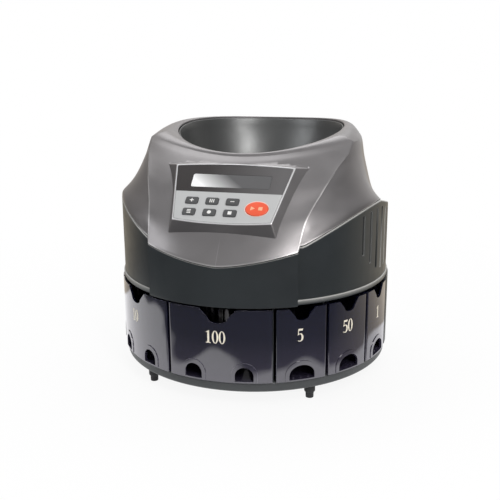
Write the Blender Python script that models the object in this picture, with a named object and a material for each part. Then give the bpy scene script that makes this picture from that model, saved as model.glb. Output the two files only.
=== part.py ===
"""Counter-top coin sorting machine, modelled as separate pieces in metres with +Z up.

The origin is on the machine's axis, on the plane that the feet stand on. The control panel faces -Y.
Angles are in degrees round the axis, from 0 at the front, positive towards +X.
"""

import math

import bmesh
import bpy
from mathutils import Matrix, Vector
from mathutils.bvhtree import BVHTree

# General fits
GAP = 0.0003
OVERRUN = 0.003

# Radii of the round body, each stepped from the ring of drawers
RING_R = 0.160
BASE_SETBACK = 0.0025
SKIRT_SETBACK = 0.003
BIB_PROUD = 0.006
SLOT_SETBACK = 0.0135
DISC_SETBACK = 0.053
BASE_R = RING_R - BASE_SETBACK
SKIRT_R = RING_R - SKIRT_SETBACK
SKIRT_FRONT_R = SKIRT_R + BIB_PROUD
SLOT_OUT_R = RING_R - SLOT_SETBACK
DISC_R = RING_R - DISC_SETBACK

# Base tray and feet
BASE_T = 0.0114
BASE_BEVEL = 0.0022
FOOT_R = 0.006
FOOT_TOE_R = 0.0045
FOOT_H = 0.015
FOOT_STEP = 0.0015
TOE_SHARE = 0.4
FOOT_INSET = 0.0105
FOOT_RING_R = BASE_R - FOOT_INSET
FOOT_ANGLES = (-38.0, 38.0, 141.0, -141.0)
STEM_R = 0.003
STEM_H = 0.007

# Drawers
PITCH_DEG = 21.6
DRAWER_H = 0.081
DRAWER_WALL = 0.0022
DRAWER_FLOOR = 0.002
SEAM = 0.0034
NOTCH_W = 0.041
NOTCH_D = 0.0155
NARROW_NOTCH_W = 0.029
NARROW_NOTCH_D = 0.013
NOTCH_SLOPE_SHARE = 0.16
NOTCH_SHOULDER_SHARE = 0.42
NOTCH_ROUND_SHARE = 0.264
NOTCH_RISE_SHARE = 0.36
ARCH_W = 0.020
NARROW_ARCH_W = 0.0285
ARCH_H = 0.018
ARCH_SPRING_SHARE = 0.3
ARCH_SPREAD_DEG = 10.1
FLOOR_RIB_W = 0.0016
FLOOR_RIB_H = 0.0012
RIB_SPREAD_SHARE = 0.3
DRAWER_ARC_STEP_DEG = 5.4
REAR_ARC_STEP_DEG = 8.0

# Each drawer's name, with its centre and its width as shares of a pitch
DRAWER_SHARES = (
    ("100", 0.0, 2.0), ("5", 1.5, 1.0), ("50", 2.5, 1.0),
    ("1", 3.5, 1.0), ("10", -2.0, 2.0), ("500", -3.5, 1.0),
)
# Width across the coin that each drawer takes
COIN_WIDTHS = {"100": 0.0226, "5": 0.0220, "50": 0.0210, "1": 0.0200, "10": 0.0235, "500": 0.0265}
DIVIDER_SHARES = (-4.0, -3.0, -1.0, 1.0, 2.0, 3.0, 4.0)
DIVIDER_T = 0.0014
DIVIDER_SETBACK = 0.009

# Core, rear cover and sorting deck
CORE_R = 0.069
CORE_WALL = 0.003
BOSS_R = 0.005
BOSS_ANGLES = (45.0, 135.0, 225.0, 315.0)
SCREW_R = 0.0017
SCREW_HEAD_R = 0.0035
SCREW_HEAD_H = 0.0022
SCREW_L = 0.014
REAR_WALL = 0.003
DECK_GAP = 0.0033
DECK_T = 0.003
DECK_CLEAR = 0.0013
SLOT_EXTRA = 0.008
SLOT_CLEAR = 0.006

# Disc, rail and drive
DISC_T = 0.003
DISC_LIFT = 0.005
DISC_HUB_R = 0.018
RAIL_CLEAR = 0.0045
RAIL_WALL = 0.0075
RAIL_R = DISC_R + RAIL_CLEAR
SLOT_IN_R = RAIL_R + RAIL_WALL + SLOT_CLEAR
RAIL_H = 0.012
EXIT_DROP = 0.0045
EXIT_EXTRA = 0.001
SENSOR_W = 0.012
SENSOR_D = 0.004
SENSOR_H = 0.009
SHAFT_R = 0.0047
BEARING_R = 0.012
BEARING_T = 0.005
BEARING_WALL = 0.003
BEARING_SPREAD = 0.004
FLANGE_R = 0.022
FLANGE_T = 0.0028
CONE_R = 0.020
CONE_H = 0.016
CONE_SHARES = ((0.97, 0.12), (0.62, 0.45), (0.3, 0.85))
PULLEY_T = 0.008
PULLEY_LIP = 0.0016
PULLEY_RIM = 0.0012
DISC_PULLEY_R = 0.021
MOTOR_PULLEY_R = 0.0105
PULLEY_DROP = 0.012
BELT_T = 0.0012
MOTOR_OFFSET = 0.036
MOTOR_R = 0.0235
MOTOR_H = 0.044
MOTOR_SHAFT_R = 0.003
MOTOR_BORE_D = 0.010
BRACKET_T = 0.002
BRACKET_CLEAR = 0.003
BRACKET_W = 0.036
BRACKET_POST_W = 0.008
BRACKET_POST_Y = 0.008

# Boards and mains parts in the rear
PSU_W = 0.050
PSU_H = 0.034
PSU_X = 0.054
BOARD_W = 0.056
BOARD_T = 0.0016
BOARD_X = -0.056
BAY_CORE_CLEAR = 0.0133
BAY_WALL_CLEAR = 0.0057
CHIP_SIZE = (0.020, 0.020, 0.003)
POST_R = 0.003
POST_H = 0.008
INLET_DEG = 171.0
INLET_W = 0.030
INLET_H = 0.026
INLET_D = 0.022
INLET_Z = 0.058
FLANGE_LIP = 0.002
PANEL_FLANGE_T = 0.002
SOCKET_W = 0.024
SOCKET_H = 0.0165
SOCKET_D = 0.016
SWITCH_DEG = 189.3
SWITCH_W = 0.015
SWITCH_H = 0.021
SWITCH_D = 0.016
SWITCH_WALL = 0.0016
ROCKER_TILT_DEG = 9.0
ROCKER_DEPTH = 0.007
ROCKER_BELLY_SHARE = 0.7

# Lower housing, with the point of its section where the flange is tucked in
TUCK_POINT = 6
SKIRT_WALL = 0.0028
SKIRT_SHELF = 0.004
SKIRT_SHELF_IN = 0.0035
SKIRT_LIP = 0.0015
SKIRT_LIP_H = 0.004
SKIRT_ROUND = 0.002
ROUND_EASE_SHARE = 0.3
SKIRT_FLANGE_T = 0.0028
FLANGE_TUCK = 0.003
SEAM_GAP = 0.0007
VENT_W = 0.0032
VENT_PITCH_DEG = 5.4
VENT_FIRST_DEG = 62.5
VENT_COUNT = 9
VENT_TOP_DROP = 0.007
VENT_LOW_H = 0.017
VENT_FIRST_H = 0.040

# Height of the seam between the housings, over the skirt's lower edge
SEAM_FRONT_H = 0.0425
SEAM_CORNER_H = 0.0570
SEAM_SIDE_H = 0.0620
SEAM_PEAK_H = 0.0950
SEAM_BACK_H = 0.0550
CORNER_DEG = 30.05
SIDE_START_DEG = 33.0
PEAK_DEG = 77.0

# Upper housing
HOUSING_H = 0.170
HOUSING_WALL = 0.0024
SHELL_TOP_H = 0.1561
SHELL_BACK_RISE = 0.004
FLARE = 0.024
FLARE_DROP = 0.0175
BACK_BULGE = 0.0065
BULGE_START_DEG = 96.0
PROUD = 0.007
STEP_DEG = 0.5
STEP_WALL_DEG = 1.0
BROW_W = 0.007
BROW_DROP = 0.0027
CREST_SHARE = 0.15

# Rim of the bowl's opening: an ellipse in plan, tilted and saddle shaped
RIM_RX = 0.100
RIM_RY = 0.095
RIM_CY = 0.02975
RIM_H = 0.1615
RIM_TILT_DEG = 6.81
RIM_SADDLE = 0.00504

# Hopper bowl
BOWL_WALL = 0.0018
BOWL_DROP = 0.0015
THROAT_R = 0.056
THROAT_H = 0.010
COVER_LAP = 0.0065
COVER_T = 0.0026

# Control panel, with its face as a plane through the top edge and the bottom edge
FACE_TOP_Y = 0.0848
FACE_TOP_H = 0.1349
FACE_LOW_Y = 0.1406
FACE_LOW_H = 0.0857
FACE_TOP_W = 0.0666
FACE_LOW_W = 0.0537
FACE_TOP_BOW = 0.0029
FACE_LOW_BOW = 0.0035
ROOT_TOP = (0.0763, 0.0717, 0.1335)
ROOT_LOW = (0.0598, 0.1440, 0.0701)
ROOT_TOP_MID = (0.0720, 0.1385)
ROOT_LOW_MID = (0.1389, 0.0734)
ROOT_SINK = 0.0004
ROOT_TUCK_SHARE = 0.94
FACE_T = 0.0034
FACE_EDGE = 0.0015
OVERLAY_T = 0.0008
PANEL_CAVITY_EDGE = 0.0035
PANEL_CAVITY_D = 0.034
WINDOW_U = 0.0
WINDOW_V = 0.0212
WINDOW_W = 0.087
WINDOW_H = 0.0175
WINDOW_LEDGE = 0.0022
LCD_W = 0.096
LCD_H = 0.026
LCD_T = 0.008
KEY_W = 0.0140
KEY_H = 0.0090
KEY_PROUD = 0.0009
KEY_ROUND = 0.0004
KEY_CORNER = 0.0018
KEY_FLANGE = 0.0010
KEY_FLANGE_T = 0.0010
KEY_STEM = 0.0030
KEY_TRAVEL = 0.0006
KEY_COLUMNS = (-0.0374, -0.0151, 0.0072)
KEY_ROWS = (0.0487, 0.0635)
START_U = 0.0348
START_V = 0.0563
START_W = 0.0243
START_H = 0.0179
KEYPAD_W = 0.100
KEYPAD_H = 0.030
KEYPAD_T = 0.0016
KEYPAD_V = 0.0560
KEYPAD_POST_R = 0.0018
KEY_NAMES = (("key_plus", "key_batch", "key_minus"), ("key_report", "key_set", "key_clear"))

# Crease of the front cover: angle, radius share of the front, and share of the way down
CREASE_SHARES = (
    (77.8, 0.750, 0.000), (69.6, 0.764, 0.112), (61.1, 0.775, 0.214), (55.6, 0.792, 0.289),
    (49.8, 0.816, 0.378), (43.65, 0.850, 0.499), (39.06, 0.884, 0.595), (35.3, 0.923, 0.694),
    (32.8, 0.958, 0.807), (31.3, 0.983, 0.923), (30.05, 1.000, 1.000),
)
# Plain side profile: height share of the housing and radius share of the skirt
PROFILE_SHARES = (
    (0.30, 0.975), (0.406, 0.949), (0.485, 0.917), (0.541, 0.895), (0.594, 0.871), (0.647, 0.854),
    (0.706, 0.838), (0.759, 0.824), (0.812, 0.812), (0.865, 0.804), (0.921, 0.792), (0.959, 0.764),
)
# How much the foot of the housing flares at each angle
FLARE_SHARES = ((30.0, 0.55), (45.0, 0.75), (65.0, 1.0), (80.0, 0.6), (96.0, 0.0), (180.0, 0.0))
RIM_ROW_SHARES = (0.0, 0.15, 0.35, 0.60, 0.82)
FRONT_COLUMN_SHARES = (0.0, 0.16, 0.33, 0.50, 0.66, 0.80, 0.91, 1.0)
SIDE_COLUMNS = 14
INNER_ROWS = (0, 1, 5, 8, 11, 13, 15)
BOWL_ROW_SHARES = (0.0, 0.12, 0.32, 0.6, 1.0)
SIDE_CROWDING = 1.15
BOWL_IN_POWER = 1.25
BOWL_FALL_POWER = 0.85
SEAM_POWER = 1.4
PROUD_POWER = 1.5
SHOULDER_POWER = 3
CONE_POWER = 0.77
CREASE_POWER = 5
BLEND_SHARE = 0.1
CAP_POWER = 60

# Heights over the floor, each resting on the one below
BASE_Z = FOOT_H
TRAY_Z = BASE_Z + BASE_T
DRAWER_Z = TRAY_Z + GAP
DECK_Z = DRAWER_Z + DRAWER_H + DECK_GAP
DECK_TOP_Z = DECK_Z + DECK_T
SKIRT_Z = DECK_Z
RAIL_Z = DECK_TOP_Z + GAP
RAIL_TOP_Z = RAIL_Z + RAIL_H
DISC_Z = DECK_TOP_Z + DISC_LIFT
DISC_TOP_Z = DISC_Z + DISC_T
COVER_Z = RAIL_TOP_Z + GAP
PULLEY_TOP_Z = DECK_Z - PULLEY_DROP
PULLEY_Z = PULLEY_TOP_Z - PULLEY_T
BRACKET_TOP_Z = PULLEY_Z - DISC_LIFT
MOTOR_TOP_Z = BRACKET_TOP_Z - BRACKET_T - GAP
SKIRT_SHELF_R = SKIRT_R - SKIRT_WALL - SKIRT_SHELF_IN
DECK_R = SKIRT_R - SKIRT_WALL - DECK_CLEAR

LARGE_STEPS = 48
ROUND_STEPS = 32
PULLEY_STEPS = 20
SMALL_STEPS = 12
SCREW_STEPS = 8
FACE_STEPS = 8
ARC_STEPS = 6

PALETTE = {
    "housing_silver": ((0.30, 0.29, 0.29), 0.35, 0.6),
    "skirt_dark": ((0.045, 0.05, 0.055), 0.45, 0.0),
    "base_grey": ((0.11, 0.115, 0.12), 0.5, 0.0),
    "rubber": ((0.03, 0.03, 0.03), 0.8, 0.0),
    "drawer_smoke": ((0.03, 0.032, 0.07), 0.12, 0.0),
    "bowl_grey": ((0.20, 0.20, 0.20), 0.35, 0.6),
    "overlay": ((0.50, 0.51, 0.51), 0.4, 0.0),
    "window": ((0.60, 0.62, 0.60), 0.1, 0.0),
    "key_grey": ((0.09, 0.09, 0.095), 0.5, 0.0),
    "key_red": ((0.80, 0.13, 0.06), 0.4, 0.0),
    "board_green": ((0.03, 0.16, 0.07), 0.5, 0.0),
    "steel": ((0.55, 0.55, 0.56), 0.3, 1.0),
    "black_plastic": ((0.02, 0.02, 0.022), 0.45, 0.0),
    "motor_metal": ((0.35, 0.35, 0.36), 0.4, 1.0),
    "belt_black": ((0.02, 0.02, 0.02), 0.7, 0.0),
}


def clear_scene():
    """Remove every object that the file holds."""
    for old in list(bpy.data.objects):
        bpy.data.objects.remove(old, do_unlink=True)


def material(kind, name):
    """Make a node's own plain material from the palette."""
    colour, roughness, metallic = PALETTE[kind]
    made = bpy.data.materials.new(name + "_finish")
    made.use_nodes = True
    shader = made.node_tree.nodes["Principled BSDF"]
    shader.inputs["Base Color"].default_value = (*colour, 1.0)
    shader.inputs["Roughness"].default_value = roughness
    shader.inputs["Metallic"].default_value = metallic
    return made


def mesh_object(name, verts, faces, kind=None, smooth_deg=30.0):
    """Make an object from points and faces, with its faces turned outwards."""
    mesh = bpy.data.meshes.new(name)
    mesh.from_pydata([tuple(v) for v in verts], [], faces)
    work = bmesh.new()
    work.from_mesh(mesh)
    bmesh.ops.recalc_face_normals(work, faces=work.faces)
    bmesh.ops.triangulate(work, faces=[f for f in work.faces if len(f.verts) > 3])
    work.to_mesh(mesh)
    work.free()
    mesh.shade_smooth()
    mesh.set_sharp_from_angle(angle=math.radians(smooth_deg))
    made = bpy.data.objects.new(name, mesh)
    bpy.context.scene.collection.objects.link(made)
    if kind:
        mesh.materials.append(material(kind, name))
    return made


def combine(target, tool, operation):
    """Cut a tool from a target, or join it to the target, and hide the tool."""
    modifier = target.modifiers.new(operation.lower() + "_" + tool.name, "BOOLEAN")
    modifier.operation = operation
    modifier.solver = "EXACT"
    modifier.object = tool
    tool.hide_render = True
    tool.display_type = "WIRE"
    return target


def cut(target, tool):
    """Take a tool's shape out of a target."""
    return combine(target, tool, "DIFFERENCE")


def join(target, tool):
    """Fuse a tool's shape to a target."""
    return combine(target, tool, "UNION")


def gather(name, tools):
    """Make one tool of several that don't touch each other."""
    work = bmesh.new()
    for tool in tools:
        part_mesh = tool.data.copy()
        part_mesh.transform(tool.matrix_basis)
        work.from_mesh(part_mesh)
    mesh = bpy.data.meshes.new(name)
    work.to_mesh(mesh)
    work.free()
    made = bpy.data.objects.new(name, mesh)
    bpy.context.scene.collection.objects.link(made)
    made.parent = tools[0].parent
    for tool in tools:
        bpy.data.objects.remove(tool, do_unlink=True)
    return made


def polar(r, deg, z):
    """Give the point at a radius and an angle round the axis."""
    a = math.radians(deg)
    return Vector((r * math.sin(a), -r * math.cos(a), z))


def turn(deg):
    """Give the turn about the axis that carries the front to an angle."""
    return Matrix.Rotation(math.radians(deg), 4, "Z")


def strip_faces(columns, rows, around, along):
    """List the quads of a grid of points, closed in either direction as asked."""
    faces = []
    last_column = columns if around else columns - 1
    last_row = rows if along else rows - 1
    for i in range(last_column):
        for j in range(last_row):
            a = i * rows + j
            b = i * rows + (j + 1) % rows
            c = ((i + 1) % columns) * rows + (j + 1) % rows
            d = ((i + 1) % columns) * rows + j
            faces.append((a, b, c, d))
    return faces


def loop_body(name, loops, kind=None, smooth_deg=30.0):
    """Join closed sections that stand round the axis into one ring."""
    verts = [p for loop in loops for p in loop]
    faces = strip_faces(len(loops), len(loops[0]), True, True)
    return mesh_object(name, verts, faces, kind, smooth_deg)


def turned(name, profile, kind=None, steps=ROUND_STEPS, at=(0.0, 0.0)):
    """Turn a closed profile of (radius, height) points about a vertical axis."""
    verts, faces, rings = [], [], []
    for r, z in profile:
        if r == 0:
            rings.append([len(verts)])
            verts.append((at[0], at[1], z))
            continue
        rings.append(list(range(len(verts), len(verts) + steps)))
        for i in range(steps):
            p = polar(r, 360.0 * i / steps, z)
            verts.append((p.x + at[0], p.y + at[1], z))
    for a, b in zip(rings, rings[1:] + rings[:1]):
        for i in range(steps):
            j = (i + 1) % steps
            if len(a) > 1 and len(b) > 1:
                faces.append((a[i], a[j], b[j], b[i]))
            elif len(b) > 1:
                faces.append((a[0], b[j], b[i]))
            elif len(a) > 1:
                faces.append((a[i], a[j], b[0]))
    return mesh_object(name, verts, faces, kind)


def cylinder(name, r, low, high, kind=None, steps=SMALL_STEPS, at=(0.0, 0.0)):
    """Make an upright round bar."""
    return turned(name, ((0, low), (r, low), (r, high), (0, high)), kind, steps, at)


def block(name, size, low_centre, kind=None, deg=0.0):
    """Make a box from its size and the middle of its lower face, turned about the axis."""
    verts = []
    for x in (-size[0] / 2, size[0] / 2):
        for y in (-size[1] / 2, size[1] / 2):
            for z in (0.0, size[2]):
                point = Vector((low_centre[0] + x, low_centre[1] + y, low_centre[2] + z))
                verts.append(turn(deg) @ point)
    faces = [(0, 1, 3, 2), (4, 6, 7, 5), (0, 4, 5, 1), (2, 3, 7, 6), (0, 2, 6, 4), (1, 5, 7, 3)]
    return mesh_object(name, verts, faces, kind)


def sector(name, r_in, r_out, low, high, deg_range, margin=0.0, kind=None, step=DRAWER_ARC_STEP_DEG):
    """Make an upright wedge between two radii, its straight sides moved in by a margin."""
    start, end = deg_range
    steps = max(2, math.ceil((end - start) / step))
    rim = []
    for r, order in ((r_in, 1), (r_out, -1)):
        inset = math.degrees(math.asin(margin / r))
        a, b = start + inset, end - inset
        angles = [a + (b - a) * i / steps for i in range(steps + 1)]
        rim += [(r, deg) for deg in angles[::order]]
    verts = [polar(r, deg, z) for z in (low, high) for r, deg in rim]
    n = len(rim)
    faces = [(i, (i + 1) % n, n + (i + 1) % n, n + i) for i in range(n)]
    for i in range(steps):
        faces.append((i, i + 1, n - 2 - i, n - 1 - i))
        faces.append((n + i, n + i + 1, 2 * n - 2 - i, 2 * n - 1 - i))
    return mesh_object(name, verts, faces, kind)


def through_front(name, outline, near, far, deg):
    """Make a cutter with an upright outline of (across, height) points, run out through the front."""
    verts = [Vector((x, -r, z)) for r in (near, far) for x, z in outline]
    n = len(outline)
    faces = [(i, (i + 1) % n, n + (i + 1) % n, n + i) for i in range(n)]
    faces += [tuple(range(n)), tuple(range(n, 2 * n))]
    return mesh_object(name, [turn(deg) @ v for v in verts], faces)


def stacked(name, outline, sections, kind=None, parent=None, at=(0.0, 0.0, 0.0)):
    """Stack sections (growth, height) of an outline function into one closed piece."""
    verts, faces = [], []
    for grow, z in sections:
        verts += [(x, y, z) for x, y in outline(grow)]
    n = len(outline(0.0))
    for k in range(len(sections) - 1):
        a = k * n
        faces += [(a + i, a + (i + 1) % n, a + n + (i + 1) % n, a + n + i) for i in range(n)]
    faces += [tuple(range(n)), tuple(range(len(verts) - n, len(verts)))]
    made = mesh_object(name, verts, faces, kind)
    made.parent = parent
    made.location = at
    return made


def rounded_outline(width, height, corner, steps=2):
    """Give an outline function for a rectangle with round corners."""
    def outline(grow):
        x, y = width / 2 + grow, height / 2 + grow
        r = min(corner + max(grow, 0.0), x, y)
        points = []
        for k, (sx, sy) in enumerate(((1, 1), (-1, 1), (-1, -1), (1, -1))):
            for i in range(steps):
                a = math.radians(90.0 * (k + i / (steps - 1)))
                points.append((sx * (x - r) + r * math.cos(a), sy * (y - r) + r * math.sin(a)))
        return points
    return outline


def oval_outline(width, height, steps=16):
    """Give an outline function for an ellipse."""
    def outline(grow):
        x, y = width / 2 + grow, height / 2 + grow
        return [(x * math.cos(2 * math.pi * i / steps), y * math.sin(2 * math.pi * i / steps))
                for i in range(steps)]
    return outline


def between(table, at):
    """Read a table of (place, value) pairs at a place, in straight lines."""
    if at <= table[0][0]:
        return table[0][1]
    for (a, va), (b, vb) in zip(table, table[1:]):
        if at <= b:
            return va + (vb - va) * (at - a) / (b - a)
    return table[-1][1]


def seam_height(deg):
    """Give the height of the seam between the housings over the skirt's lower edge."""
    deg = abs(deg)
    if deg <= CORNER_DEG + STEP_DEG / 2:
        share = min(1.0, deg / CORNER_DEG)
        return SEAM_FRONT_H + (SEAM_CORNER_H - SEAM_FRONT_H) * share ** SEAM_POWER
    if deg <= PEAK_DEG:
        share = max(0.0, (deg - SIDE_START_DEG) / (PEAK_DEG - SIDE_START_DEG))
        return SEAM_SIDE_H + (SEAM_PEAK_H - SEAM_SIDE_H) * math.sin(math.pi / 2 * share)
    share = (deg - PEAK_DEG) / (180.0 - PEAK_DEG)
    return SEAM_PEAK_H - (SEAM_PEAK_H - SEAM_BACK_H) * math.sin(math.pi / 2 * share)


def rim_radius(deg, inset=0.0):
    """Give the rim's distance from the machine's axis at an angle."""
    a = math.radians(deg)
    rx, ry = RIM_RX - inset, RIM_RY - inset
    across, ahead = math.sin(a) / rx, -math.cos(a) / ry
    shift = RIM_CY / ry
    square = across ** 2 + ahead ** 2
    middle = -ahead * shift
    return (-middle + math.sqrt(middle ** 2 - square * (shift ** 2 - 1))) / square


def rim_height(deg):
    """Give the rim's height over the skirt's lower edge at an angle round the axis."""
    point = polar(rim_radius(deg), deg, 0.0)
    back = point.y - RIM_CY
    theta = math.atan2(point.x / RIM_RX, -back / RIM_RY)
    return RIM_H + back * math.tan(math.radians(RIM_TILT_DEG)) - RIM_SADDLE * math.cos(2 * theta)


def side_radius(deg, height):
    """Give the housing's radius beside the front cover."""
    share = height / HOUSING_H
    r = SKIRT_R * between(PROFILE_SHARES, share)
    r += FLARE * between(FLARE_SHARES, deg) * math.exp((seam_height(deg) - height) / FLARE_DROP)
    back_share = max(0.0, (deg - BULGE_START_DEG) / (180.0 - BULGE_START_DEG))
    low_share = seam_height(deg) / HOUSING_H
    r += BACK_BULGE * back_share * max(0.0, (share - low_share) / (1.0 - low_share))
    return (r ** -CAP_POWER + SKIRT_R ** -CAP_POWER) ** (-1.0 / CAP_POWER)


def front_column(share):
    """List (angle, radius, height) down the front cover, at a share of the way to its crease."""
    top_deg, top_share, _ = CREASE_SHARES[0]
    crease_r = SKIRT_FRONT_R * top_share
    edge_r, edge_h = rim_radius(top_deg), rim_height(top_deg)
    lean = share ** SHOULDER_POWER
    r_top = rim_radius(top_deg * share) + BROW_W + (crease_r - edge_r - BROW_W) * lean
    h_top = rim_height(top_deg * share) - BROW_DROP - (edge_h - BROW_DROP - SHELL_TOP_H) * lean
    h_low = seam_height(CORNER_DEG * share)
    weight = share ** CREASE_POWER
    points = []
    for deg, r_share, drop in CREASE_SHARES:
        along = (SKIRT_FRONT_R * r_share - crease_r) / (SKIRT_FRONT_R - crease_r)
        out = (1 - weight) * drop ** CONE_POWER + weight * along
        points.append((deg * share, r_top + (SKIRT_FRONT_R - r_top) * out,
                       h_top + (h_low - h_top) * drop))
    return points


def side_column(share):
    """List (angle, radius, height) down the side, at a share of the way from the crease to the back."""
    low_deg = CREASE_SHARES[-1][0] + STEP_DEG
    h_top = SHELL_TOP_H + SHELL_BACK_RISE * share
    h_low = seam_height(low_deg + (180.0 - low_deg) * share)
    points = []
    for deg, r_share, drop in CREASE_SHARES:
        start = deg + STEP_DEG
        here = start + (180.0 - start) * share
        height = h_top + (h_low - h_top) * drop
        first_h = SHELL_TOP_H + (seam_height(low_deg) - SHELL_TOP_H) * drop
        at_crease = SKIRT_FRONT_R * r_share - PROUD * drop ** PROUD_POWER
        lead = (at_crease - side_radius(start, first_h)) * math.exp(-share / BLEND_SHARE)
        points.append((here, side_radius(here, height) + lead, height))
    return points


def with_rim(column):
    """Add the rows over the shoulder, up to the rim of the bowl's opening."""
    deg, r_top, h_top = column[0]
    start_r, start_h = rim_radius(deg), rim_height(deg)
    width = r_top - start_r
    rows = []
    for share in RIM_ROW_SHARES:
        crest = CREST_SHARE * width * math.sin(math.pi * share)
        height = start_h + crest + (h_top - start_h) * share ** SHOULDER_POWER
        rows.append((deg, start_r + width * share, height))
    return rows + column


def half_columns():
    """List the housing's columns from the front to the back, and which of them is the crease."""
    front = [with_rim(front_column(share)) for share in FRONT_COLUMN_SHARES]
    shares = [(i / SIDE_COLUMNS) ** SIDE_CROWDING for i in range(SIDE_COLUMNS + 1)]
    side = [with_rim(side_column(share)) for share in shares]
    return front + side, len(front) - 1


def both_sides(half):
    """Mirror a list of columns from front to back into a whole round."""
    mirrored = [[(-deg, r, h) for deg, r, h in column] for column in half[1:-1]]
    return half + mirrored[::-1]


def offset_column(column, wall):
    """Move a column's line inwards by a wall."""
    points = []
    for i, (deg, r, h) in enumerate(column):
        before, after = column[max(0, i - 1)], column[min(len(column) - 1, i + 1)]
        along = Vector((after[1] - before[1], after[2] - before[2])).normalized()
        points.append((deg, r + along.y * wall, h - along.x * wall))
    points[0] = (column[0][0], column[0][1], column[0][2] - wall)
    points[-1] = (column[-1][0], column[-1][1] - wall, column[-1][2])
    return points


def shell_columns():
    """Give the housing's outer and inner columns round the axis."""
    half, crease = half_columns()
    inner = [offset_column(column, HOUSING_WALL) for column in half]
    inner[crease] = [(deg - STEP_WALL_DEG, r, h) for deg, r, h in inner[crease]]
    plain = [[column[k] for k in INNER_ROWS] for column in inner]
    return both_sides(half), both_sides(plain)


def placed(column, base):
    """Turn a column of (angle, radius, height) into points over a base height."""
    return [polar(r, deg, base + h) for deg, r, h in column]


def capped_loft(name, columns):
    """Close a round of columns with a fan at the top and at the bottom."""
    rows = len(columns[0])
    verts = [p for column in columns for p in column]
    faces = strip_faces(len(columns), rows, True, False)
    for row in (0, rows - 1):
        ring = [i * rows + row for i in range(len(columns))]
        centre = sum((verts[i] for i in ring), Vector()) / len(ring)
        verts.append(centre)
        faces += [(a, b, len(verts) - 1) for a, b in zip(ring, ring[1:] + ring[:1])]
    return mesh_object(name, verts, faces)


def face_point(u, v, depth=0.0):
    """Give the world point at a place on the panel's face, and a depth behind it."""
    return panel_matrix() @ Vector((u, -v, -depth))


def panel_matrix():
    """Give the frame of the panel's face: x across, y up the slope, z out of the face."""
    top = Vector((0.0, -FACE_TOP_Y, SKIRT_Z + FACE_TOP_H))
    low = Vector((0.0, -FACE_LOW_Y, SKIRT_Z + FACE_LOW_H))
    up = (top - low).normalized()
    out = Vector((1.0, 0.0, 0.0)).cross(up)
    frame = Matrix(((1.0, up.x, out.x), (0.0, up.y, out.y), (0.0, up.z, out.z))).to_4x4()
    return Matrix.Translation(top) @ frame


def face_length():
    """Give the face's length down its slope."""
    return math.hypot(FACE_LOW_Y - FACE_TOP_Y, FACE_TOP_H - FACE_LOW_H)


def face_outline(inset, steps=FACE_STEPS):
    """List the face's outline in its own plane, with its bowed top and bottom, moved in by an inset."""
    length = face_length()
    slant = (FACE_TOP_W - FACE_LOW_W) / length
    side_inset = inset * math.hypot(1.0, slant)
    points = []
    edges = ((inset, FACE_TOP_BOW, 1), (length - inset, -FACE_LOW_BOW, -1))
    for v, bow, way in edges:
        width = FACE_TOP_W - slant * v - side_inset
        for i in range(steps + 1):
            share = way * (1.0 - 2.0 * i / steps)
            points.append((width * share, -v + bow * (1 - share ** 2)))
    return points


def root_outline(steps=FACE_STEPS):
    """List the points where the panel's pedestal meets the housing, in the face outline's order."""
    points = []
    for corner, middle, way in ((ROOT_TOP, ROOT_TOP_MID, 1), (ROOT_LOW, ROOT_LOW_MID, -1)):
        for i in range(steps + 1):
            share = way * (1.0 - 2.0 * i / steps)
            ease = 1 - share ** 2
            y = corner[1] + (middle[0] - corner[1]) * ease
            h = corner[2] + (middle[1] - corner[2]) * ease
            points.append(Vector((corner[0] * share, -y, SKIRT_Z + h)))
    return points


def seated_root(shell):
    """List the pedestal's root points, each moved in or out to lie just under the housing's surface."""
    points = [v.co for v in shell.data.vertices]
    tree = BVHTree.FromPolygons(points, [p.vertices for p in shell.data.polygons])
    seated = []
    for point in root_outline():
        inward = Vector((-point.x, -point.y, 0.0)).normalized()
        hit = tree.ray_cast(point - inward * SKIRT_R, inward)[0]
        seated.append(hit + inward * ROOT_SINK)
    return seated


def pedestal_block(shell):
    """Make the solid block of the panel's pedestal, run a little way into the housing."""
    frame = panel_matrix()
    face = [frame @ Vector((x, y, 0.0)) for x, y in face_outline(0.0)]
    root = seated_root(shell)
    centre = frame @ Vector((0.0, -face_length() / 2, -PANEL_CAVITY_D / 2))
    deep = [Vector((p.x * ROOT_TUCK_SHARE, p.y * ROOT_TUCK_SHARE, p.z)) for p in root]
    core = [p.lerp(centre, 1 - ROOT_TUCK_SHARE) for p in deep]
    loops = [face, root, deep, core]
    verts = [p for loop in loops for p in loop]
    n = len(face)
    faces = []
    for k in range(len(loops) - 1):
        a = k * n
        faces += [(a + i, a + (i + 1) % n, a + n + (i + 1) % n, a + n + i) for i in range(n)]
    faces += [tuple(range(n)), tuple(range(len(verts) - n, len(verts)))]
    return mesh_object("pedestal_block", verts, faces)


def face_prism(name, inset, near, far, kind=None, parent=None):
    """Make a prism over the face's outline, between two depths behind the face."""
    return stacked(name, lambda grow: face_outline(inset), ((0.0, -near), (0.0, -far)), kind, parent)


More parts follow.
